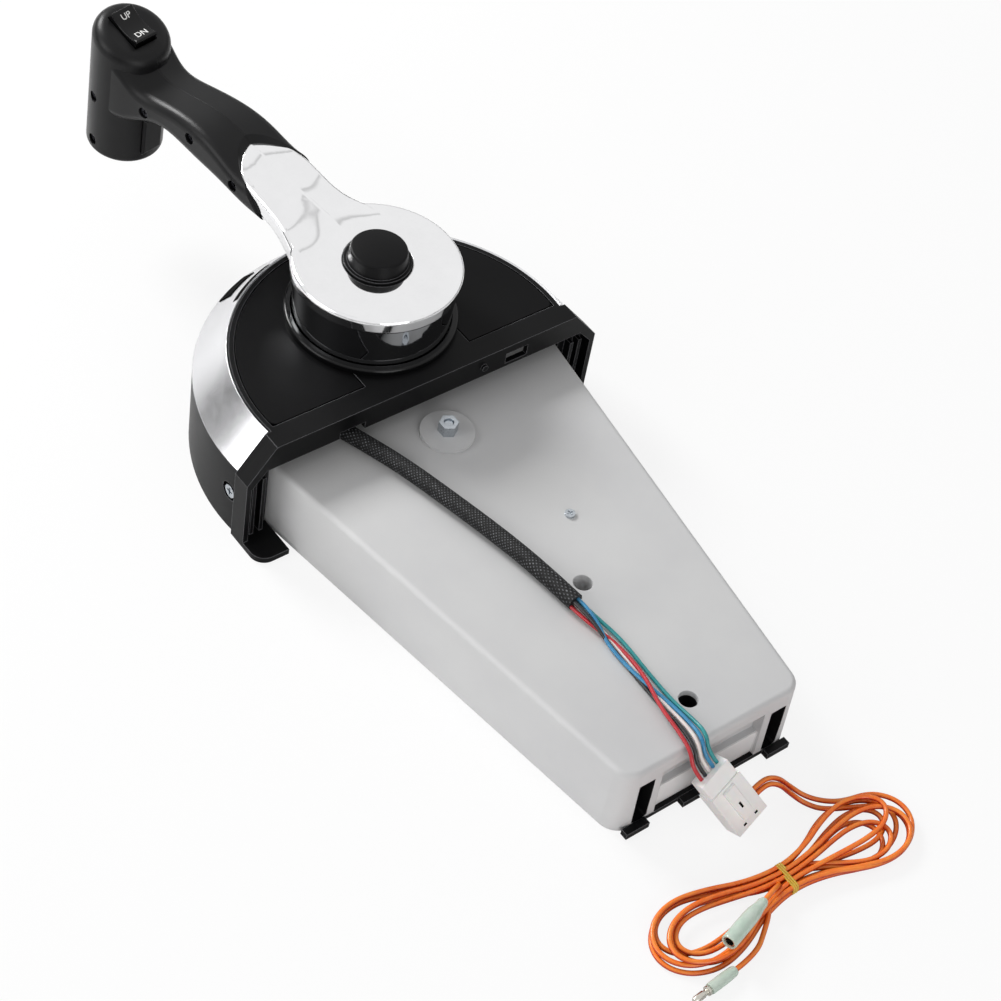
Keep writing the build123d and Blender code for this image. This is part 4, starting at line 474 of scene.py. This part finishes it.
harness = {
    "sleeveRadius": 3.9, "wireRadius": 0.85, "wirePitch": 2.4, "leadRadius": 1.1,
    "wireRun": 10.0, "mouthRun": 7.0,        # straight out of the sleeve, and straight into the plug
    "bundleShare": 0.5,                      # how close they lie in the sleeve's end
    "sleeve": [(34, -44, 40.7), (52, -37, 40.7), (73, -29.9, 40.7), (98, -23.8, 40.7),
               (122, -18.3, 40.7), (146, -14, 40.7), (168.5, -11.8, 40.7)],
    "wires": [(192, -9.5, 37.75), (212, -10.5, 37.75), (228, -11, 37.9), (240, -11.3, 39.9),
              (250.3, -12.6, 40.6)],
    "plugMouth": (258.5, -11, 29.4), "plugDirection": (0.513, 0.418, -0.753), "plugRoll": 35.0,
    # red and blue lie swapped at first and cross their neighbours: side step and rise at each point
    "crossing": {"red": {0: (5.0, 0), 1: (4.2, 2.5), 2: (0.2, 2.3)},
                 "blue": {0: (-5.0, 0), 1: (-3.6, 0.9), 2: (-0.2, 0.8)}},
    "gathered": (0.85, 0.78, 0.8, 0.9),      # how far the wires keep their pitch at each point
    "leadOutlet": (25.0, 8.5, 6.5),      # along the plug, out to its side, then straight out
    "leadPitch": 2.8,
    "upperLead": [(269.2, 20.3, 15), (272.2, 27, 7), (277.5, 32, 2.6), (283.5, 37.5, 2.2),
                  (288, 44, 2.9)],
    "lowerLead": [(271.8, 19.8, 13.6), (275.1, 25.6, 6), (280.4, 30.4, 1.7), (286.6, 35.6, 1.3)],
    "femaleTail": [(305.4, -7.2, 5.6), (306.6, -10.4, 8), (308.1, -14.8, 10.4), (309.6, -20, 10.5)],
    "maleTail": [(312.2, -17.6, 2.6), (317, -24, 2.6), (323.6, -34, 2.6), (324.6, -46, 2.6)],
}
hank = {
    "centre": (304, -2), "straight": 4.0, "firstColumn": -5.8, "pointsPerTurn": 24,
    # waist: place across and level of each pass; loops, upper end and lower end in turn:
    # half-width, half-length, where it is widest, how far it leans to the right, and its level
    "upperLead": {"start": 60, "end": 1264,
                  "waist": ((4.6, 5.3), (-4.6, 5.3), (2.3, 5.3), (-2.3, 5.3), (3.45, 3.5), (0.0, 5.3),
                            (-3.45, 3.5)),
                  "loops": ((16.6, 66.5, 44, 0.0, 3.4), (15.2, 65.5, 46, -1.4, 3.4),
                            (9.6, 58.5, 42, -5.6, 5.6), (12.8, 61.4, 42, 2.6, 5.4),
                            (12.6, 62.6, 46, 3.8, 4.4), (9.0, 57, 44, 1.0, 3.4),
                            (8.6, 53, 40, 4.0, 3.4), (9.6, 59, 46, -3.0, 3.4))},
    "lowerLead": {"start": 58, "end": 1268,
                  "waist": ((4.6, 1.7), (-4.6, 1.7), (2.3, 1.7), (-2.3, 1.7), (1.15, 3.5), (0.0, 1.7),
                            (-1.15, 3.5)),
                  "loops": ((13.2, 64.0, 48, 2.4, 1.2), (16.8, 66.6, 44, 0.0, 1.2),
                            (14.2, 61.6, 40, -2.6, 1.2), (11.4, 62, 46, -4.6, 1.2),
                            (8.4, 56, 44, -3.0, 1.2), (13.2, 58, 40, 1.6, 1.2),
                            (10.2, 50, 38, 2.0, 1.2), (13.6, 60, 40, 1.6, 1.2))},
}


def hankTurns(lead):
    # up the left side, round the end, and down the right
    halfTurn = 180
    sweep = lead["end"] - lead["start"]
    count = int(sweep / (2 * halfTurn / hank["pointsPerTurn"]))
    points = []
    for number in range(count + 1):
        angle = lead["start"] + sweep * number / count
        half = min(int(angle // halfTurn), len(lead["loops"]) - 1)      # each half turn has its end loop
        width, length, widest, leaning, endLevel = lead["loops"][half]
        passed = int((angle - halfTurn / 2) // halfTurn)      # each pass has its own place at the waist
        column, waistLevel = hank["firstColumn"], lead["waist"][0][1]
        if passed >= 0:
            column, waistLevel = lead["waist"][min(passed, len(lead["waist"]) - 1)]
        side = 1 if cos(radians(angle)) < 0 else -1
        y = length * sin(radians(angle))
        reach = abs(y)
        blend = min(max((reach - hank["straight"]) / (widest - hank["straight"]), 0), 1)
        blend = blend * blend * (3 - 2 * blend)      # eased at both ends
        x = column + (side * width + leaning - column) * blend
        if reach > widest:
            x = leaning + side * width * sqrt(max(1 - ((reach - widest) / (length - widest)) ** 2, 0))
        level = waistLevel + (endLevel - waistLevel) * blend
        points.append((hank["centre"][0] + x, hank["centre"][1] + y, level))
    return points


plugAxis = Vector(harness["plugDirection"]).normalized()
plugLevel = upward.cross(plugAxis).normalized()
plugRoll = radians(harness["plugRoll"])
plugAcross = plugLevel * cos(plugRoll) + plugAxis.cross(plugLevel) * sin(plugRoll)
plugFace = plugAxis.cross(plugAcross)
plugMouth = Vector(harness["plugMouth"])
sleeveEnd = Vector(harness["sleeve"][-1])
sleeveHeading = (sleeveEnd - Vector(harness["sleeve"][-2])).normalized()
sleeveAcross = upward.cross(sleeveHeading)

sleeve, sleeveLength = cordCurve("sleeve", harness["sleeve"], harness["sleeveRadius"], sleeveBraid)
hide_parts("harness_sleeve")
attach(sleeve, "control")

# Five wires side by side, counted from the middle one; they leave the sleeve in two rows
wireSkins = (("red", redWire), ("black", blackWire), ("white", whiteWire), ("blue", blueWire),
             ("green", greenWire))
for index, (colourName, skin) in enumerate(wireSkins, start=-(len(wireSkins) // 2)):
    place = index * harness["wirePitch"]
    row = upward * (harness["wirePitch"] / 2 * (1 if index % 2 else -1))
    begin = sleeveEnd + sleeveAcross * (place * harness["bundleShare"]) + row
    points = [begin, begin + sleeveHeading * harness["wireRun"]]
    first = len(points)
    points += [Vector(spot) + Vector((0, place * share, 0))
               for spot, share in zip(harness["wires"][:-1], harness["gathered"])]
    for number, (sideStep, rise) in harness["crossing"].get(colourName, {}).items():
        points[first + number] += Vector((0, sideStep, rise))
    points += [Vector(harness["wires"][-1]) + plugAcross * place]
    points += [plugMouth + plugAcross * place - plugAxis * harness["mouthRun"]]
    points += [plugMouth + plugAcross * place]
    wire, run = cordCurve(colourName + "Wire", points, harness["wireRadius"], skin)
    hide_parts("wire_" + colourName)
    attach(wire, "control")

# Two bullet connectors, a vinyl sleeve over tinned metal each: distance along the bullet and radius
bullets = {
    "female": {"begin": harness["femaleTail"],
               "vinyl": [(0, 0.9), (0, 1.6), (1.5, 2.2), (4, 2.3), (8, 3.1), (11, 3.3), (25.5, 3.35),
                         (26, 3.2), (26, 2.6), (14, 2.5), (13, 1.2), (2, 1.15)],
               "metal": [(3, 1.15), (3, 1.7), (8, 1.8), (11, 2.35), (25.4, 2.4), (25.6, 2.2), (25.6, 1.9),
                         (15, 1.85), (15, 0.02)]},
    "male": {"begin": harness["maleTail"],
             "vinyl": [(0, 1.15), (0, 1.8), (1, 2.2), (5, 2.45), (13.4, 2.45), (14, 2.3), (14, 1.5),
                       (4, 1.3)],
             "metal": [(6, 1.3), (6, 1.5), (14.6, 1.5), (14.8, 2.1), (15.6, 2.1), (15.8, 1.25), (17, 1.2),
                       (17.6, 1.58), (21.6, 1.58), (22.7, 1.1), (22.9, 0.02)]},
}


def turnedPiece(name, base, heading, profile, material, sides=40, sharpAngle=35):
    # a closed section turned about an axis: distance along it and radius of each corner
    side = heading.orthogonal().normalized()
    over = heading.cross(side)
    points = []
    for reach, radius in profile:
        for number in range(sides):
            angle = 2 * pi * number / sides
            points.append(base + heading * reach + (side * cos(angle) + over * sin(angle)) * radius)
    piece = newMesh(name, points, ringFaces(len(profile), sides, closed=True), material)
    piece.data.set_sharp_from_angle(angle=radians(sharpAngle))
    return piece


for kind, look in bullets.items():
    base, before = Vector(look["begin"][-1]), Vector(look["begin"][-2])
    heading = (base - before).normalized()
    shell = turnedPiece(kind + "BulletSleeve", base, heading, look["vinyl"], vinylSleeve)
    pin = turnedPiece(kind + "BulletMetal", base, heading, look["metal"], tinnedBrass)
    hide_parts(kind + "_bullet")
    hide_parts(kind + "_bullet")
    for piece, slotName in ((shell, "bullet_sleeve"), (pin, "zinc_steel")):
        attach(piece, "control")
print("bullets made")

along, out, straight = harness["leadOutlet"]
for leadName, side, tail, bullet, stands in (
        ("upperLead", -1, "femaleTail", "female", ("upper_lead", "female_tail", "lead_hank")),
        ("lowerLead", 1, "maleTail", "male", ("lower_lead", "male_tail"))):
    begin = plugMouth + plugAxis * (along + side * harness["leadPitch"] / 2) + plugAcross * out
    points = [begin, begin + plugAcross * straight]
    points += [Vector(spot) for spot in harness[leadName]]
    points += [Vector(spot) for spot in hankTurns(hank[leadName])]
    points += [Vector(spot) for spot in harness[tail]]
    lead, run = cordCurve(leadName, points, harness["leadRadius"], orangeLead)
    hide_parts(*stands)
    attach(lead, "control")

# A yellow wire, wound three times round the waist of the hank
tie = {"halfWidth": 6.3, "low": 0.55, "high": 6.4, "pitch": 1.0, "wraps": 3, "radius": 0.5,
       "firstWrap": -1.4, "steps": 16, "squareness": 0.8}
middle = (tie["low"] + tie["high"]) / 2
tiePoints = []
for wrap in range(tie["wraps"]):
    for turn in range(tie["steps"]):
        angle = 2 * pi * turn / tie["steps"]
        spread = max(abs(cos(angle)), abs(sin(angle))) ** tie["squareness"]
        tiePoints.append((hank["centre"][0] + tie["halfWidth"] * sin(angle) / spread,
                          hank["centre"][1] + tie["pitch"] * (wrap + tie["firstWrap"] + turn / tie["steps"]),
                          middle + (tie["high"] - middle) * cos(angle) / spread))
tieWire = cordCurve("tieWire", tiePoints, tie["radius"], tieYellow)[0]
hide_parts("hank_tie")
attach(tieWire, "control")
print("cords laid")


# Bellows under the button: rounded folds, built at rest

bellows = {"foot": 77.0, "length": 15.9, "innerRadius": 8.0, "fold": 2.1, "wall": 1.0, "folds": 3,
           "travel": 4.0, "slack": 0.01, "steps": 36, "sides": 56}
wallLine = []
for step in range(bellows["steps"] + 1):
    share = step / bellows["steps"]
    swell = (1 - cos(2 * pi * bellows["folds"] * share)) / 2
    wallLine.append((bellows["length"] * share, bellows["innerRadius"] + bellows["fold"] * swell))
wallLine = wallLine[::-1] + [(reach, radius + bellows["wall"]) for reach, radius in wallLine]
bellowsPiece = turnedPiece("buttonBellows", upward * bellows["foot"], upward, wallLine, bellowsNitrile,
                           sides=bellows["sides"])
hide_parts("button_bellows")
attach(bellowsPiece, "lever")
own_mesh(bellowsPiece)
print("bellows made")


# Finishes of the carried-over solids

finishes = {
    "control_housing": housingPaint, "shaft_tower": housingPaint, "back_plate": texturedPlastic,
    "back_plate_screws": zincSteel,
    "bezel_cover": texturedPlastic, "face_plate": platePlastic, "trim_band": bandChrome,
    "band_insert": mattFilm, "hub_collar": polishedPlastic, "lever_arm": chromePlate,
    "hub_skirt": skirtChrome, "grip_near": gripElastomer, "grip_far": gripElastomer,
    "grip_screws": blackOxide, "trim_rocker": polishedPlastic, "rocker_pin": zincSteel,
    "switch_body": texturedPlastic, "neutral_trigger": texturedPlastic,
    "throttle_only_button": texturedPlastic, "hub_screw": zincSteel,
    "lever_shaft": zincSteel, "upper_bush": turnedBronze, "lower_bush": turnedBronze,
    "throttle_crank": zincSteel, "crank_pin": zincSteel, "shift_pinion": zincSteel,
    "shift_sector": zincSteel, "sector_pin": zincSteel, "shift_axle": zincSteel,
    "boss_washer": housingPaint, "boss_nut": zincSteel, "detent_plate": zincSteel,
    "detent_roller": zincSteel, "detent_leaf": zincSteel, "neutral_switch": texturedPlastic,
    "friction_pad": bellowsNitrile, "friction_screw": zincSteel, "cable_anchor": zincSteel,
    "bezel_screws": zincSteel, "face_screw": zincSteel, "trim_plug": connectorNylon,
}
for name, finish in finishes.items():
    for place in cadNodes[name].material_slots:
        place.material = finish
print("solids finished")

# Painted shade for the openings of the plug's latch, thin matt black pads: place along, place across, height
# off its middle, length and width
latch = {"depth": 0.3, "openings": ((19.0, 0.0, 5.92, 3.2, 1.0), (28.6, 3.4, 4.53, 1.0, 1.6),
                                    (28.6, -3.4, 4.53, 1.0, 1.6))}
corners = ((-1, -1), (1, -1), (1, 1), (-1, 1))
markPoints, markFaces = [], []
for along, across, height, length, width in latch["openings"]:
    middle = plugMouth + plugAxis * along + plugAcross * across
    levels = (height - latch["depth"], height)
    first = len(markPoints)
    for level in levels:
        for sideLong, sideWide in corners:
            corner = plugAxis * (sideLong * length / 2) + plugAcross * (sideWide * width / 2)
            markPoints.append(middle + corner + plugFace * level)
    markFaces += [tuple(first + number for number in face)
                  for face in ringFaces(len(levels), len(corners))]
paintedLatchShade = newMesh("paintedLatchShade", markPoints, markFaces, mattFilm, smooth=False)
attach(paintedLatchShade, "control")

# White pad-printed letters on the rocker, up towards the crown's outer edge
lettering = {
    "axisAngle": 191.0, "lean": 3.0,          # where the grip points, and how its barrel leans back
    "foot": 161.2, "footLevel": 49.4, "crownLevel": 115.6,      # the barrel's axis from foot to crown
    "slope": 18.0,                            # of the crown
    "dishRadius": 19.2, "faceRise": 2.6,      # the rocker's dished face, and its height over the crown
    "across": 5.4, "size": 4.4, "thickness": 0.1, "bolder": 0.03, "sink": -0.06,      # the words
}
printWhite = mouldedSurface("printedWhite", {
    "colour": "#f2f2f0", "secondColour": "#f8f8f6", "roughness": (0.38, 0.46), "ior": 1.5,
    "mottleSize": 12, "grainSize": 0.5, "grainHeight": 0.01, "grainStrength": 0.1})
leverTurn, lean, slope = (radians(lettering[key]) for key in ("axisAngle", "lean", "slope"))
leverDirection = Vector((cos(leverTurn), sin(leverTurn), 0))
barrelUp = upward * cos(lean) - leverDirection * sin(lean)
crownCentre = leverDirection * lettering["foot"] + upward * lettering["footLevel"]
crownCentre += barrelUp * ((lettering["crownLevel"] - lettering["footLevel"]) / cos(lean))
crownOut = leverDirection * cos(slope) + upward * sin(slope)
crownUp = upward * cos(slope) - leverDirection * sin(slope)
reading = crownOut.cross(crownUp)
for word, side in (("UP", 1), ("DN", -1)):
    text = bpy.data.curves.new("print" + word, "FONT")
    text.body = word
    text.size = lettering["size"] * millimetre
    text.extrude = lettering["thickness"] * millimetre
    text.offset = lettering["bolder"] * millimetre
    text.align_x = "CENTER"
    text.align_y = "CENTER"
    lettersMesh = bpy.data.meshes.new_from_object(bpy.data.objects.new("text" + word, text))
    lettersMesh.materials.clear()
    letters = newObject("letters" + word, lettersMesh, printWhite)
    tilt = side * asin(lettering["across"] / lettering["dishRadius"])
    textUp = crownOut * cos(tilt) + crownUp * sin(tilt)
    textOut = crownUp * cos(tilt) - crownOut * sin(tilt)
    spot = crownCentre + crownOut * (side * lettering["across"]) + crownUp * lettering["faceRise"]
    spot += textOut * lettering["sink"]
    turn = Matrix((reading, textUp, textOut)).transposed().to_4x4()
    lettersMesh.transform(Matrix.Translation(spot * millimetre) @ turn)
    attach(letters, "rocker")

# Dark trim strip let into the band's inner edge, beside the insert
strip = {
    "centre": 28.4, "inner": 79.35, "outer": 81.6, "begin": 196.0, "end": 216.0,
    "top": 56.4, "topRadius": 79.0, "run": 13.9, "drop": 17.2,      # the slope that the band lies on
    "proud": 0.12, "depth": 0.3, "steps": 24,
}
section = ((strip["inner"], strip["proud"]), (strip["outer"], strip["proud"]),
           (strip["outer"], -strip["depth"]), (strip["inner"], -strip["depth"]))
stripPoints = []
for step in range(strip["steps"] + 1):
    angle = radians(strip["begin"] + (strip["end"] - strip["begin"]) * step / strip["steps"])
    for radius, height in section:
        level = strip["top"] - (radius - strip["topRadius"]) * strip["drop"] / strip["run"] + height
        stripPoints.append((strip["centre"] + radius * cos(angle), radius * sin(angle), level))
stripFaces = ringFaces(strip["steps"] + 1, len(section))
darkStrip = newMesh("darkStrip", stripPoints, stripFaces, mattFilm, smooth=False)
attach(darkStrip, "control")
print("latch marks, letters and strip made")


# Floor, light and room

studio = {
    "floorColour": "#f6f6f6", "floorSize": 12.0, "floorLevel": -0.05,
    "floorLift": 0.85,           # how far the camera sees the floor as blown out to white
    "worldLevel": 0.35,          # light from all round on surfaces that don't mirror
    # what mirrors see: the room's greys from the horizon up, with a dark band low down, and faint
    # drifting seams that a wavy mirror bends into curls
    "roomGreys": ((0.0, 0.75), (0.03, 0.05), (0.16, 0.06), (0.24, 0.95)),
    "seamGreys": ((0.488, 1.0), (0.498, 0.62), (0.502, 0.62), (0.53, 1.0)),
    "seamScale": 1.7,
    "white": (1, 1, 1, 1),
    # place, aim, size in metres, watts
    "lamps": (((-1.35, -0.3, 1.05), (0.08, 0, 0.03), 0.55, 25.0),
              ((-0.4, -1.5, 0.8), (0.08, 0, 0.03), 1.0, 8.5),
              ((1.6, -0.3, 0.42), (0.25, 0, 0.02), 0.9, 7.0)),
}


def makeStudio(look):
    edge = look["floorSize"] / 2 / millimetre
    level = look["floorLevel"]
    floorPaint, tree = startMaterial("palePaper")
    rays = addNode(tree, "ShaderNodeLightPath")
    surface = addNode(tree, "ShaderNodeBsdfDiffuse", {"Color": linearColour(look["floorColour"])})
    glow = addNode(tree, "ShaderNodeEmission", {"Strength": 1.0})
    share = addNode(tree, "ShaderNodeMath", {"operation": "MULTIPLY", 1: look["floorLift"]},
                    {0: rays.outputs["Is Camera Ray"]})
    both = addNode(tree, "ShaderNodeMixShader", {},
                   {0: share.outputs[0], 1: surface.outputs["BSDF"], 2: glow.outputs["Emission"]})
    addNode(tree, "ShaderNodeOutputMaterial", {}, {"Surface": both.outputs["Shader"]})
    corners = [(-edge, -edge, level), (edge, -edge, level), (edge, edge, level), (-edge, edge, level)]
    floor = newMesh("floor", corners, [(0, 1, 2, 3)], floorPaint, smooth=False)

    world = bpy.data.worlds.new("softRoom")
    scene.world = world
    world.use_nodes = True
    tree = world.node_tree
    tree.nodes.clear()
    rays = addNode(tree, "ShaderNodeLightPath")
    place = addNode(tree, "ShaderNodeTexCoord")
    height = addNode(tree, "ShaderNodeSeparateXYZ", {}, {0: place.outputs["Generated"]})
    room = addNode(tree, "ShaderNodeValToRGB", {"stops": greyStops(look["roomGreys"])},
                   {"Fac": height.outputs["Z"]})
    drift = addNode(tree, "ShaderNodeTexNoise", {"Scale": look["seamScale"], "Detail": 0.0},
                    {"Vector": place.outputs["Generated"]})
    seams = addNode(tree, "ShaderNodeValToRGB", {"stops": greyStops(look["seamGreys"])},
                    {"Fac": drift.outputs["Fac"]})
    lined = addNode(tree, "ShaderNodeMix", {"data_type": "RGBA", "blend_type": "MULTIPLY", 0: 1.0},
                    {6: room.outputs["Color"], 7: seams.outputs["Color"]})
    soft = addNode(tree, "ShaderNodeBackground", {"Color": look["white"], "Strength": look["worldLevel"]})
    mirrored = addNode(tree, "ShaderNodeBackground", {"Strength": 1.0}, {"Color": lined.outputs[2]})
    white = addNode(tree, "ShaderNodeBackground", {"Color": look["white"], "Strength": 1.0})
    first = addNode(tree, "ShaderNodeMixShader", {},
                    {0: rays.outputs["Is Glossy Ray"], 1: soft.outputs[0], 2: mirrored.outputs[0]})
    seen = addNode(tree, "ShaderNodeMath", {"operation": "MAXIMUM"},
                   {0: rays.outputs["Is Camera Ray"], 1: rays.outputs["Is Transmission Ray"]})
    last = addNode(tree, "ShaderNodeMixShader", {},
                   {0: seen.outputs[0], 1: first.outputs[0], 2: white.outputs[0]})
    addNode(tree, "ShaderNodeOutputWorld", {}, {"Surface": last.outputs[0]})

    for number, (place, aim, size, watts) in enumerate(look["lamps"]):
        lamp = bpy.data.lights.new("softbox" + str(number), "AREA")
        lamp.size = size
        lamp.energy = watts
        holder = bpy.data.objects.new(lamp.name, lamp)
        scene.collection.objects.link(holder)
        holder.location = place
        holder.rotation_euler = (Vector(aim) - Vector(place)).to_track_quat("-Z", "Y").to_euler()


makeStudio(studio)
scene.view_settings.view_transform = "Standard"
print("studio lit")
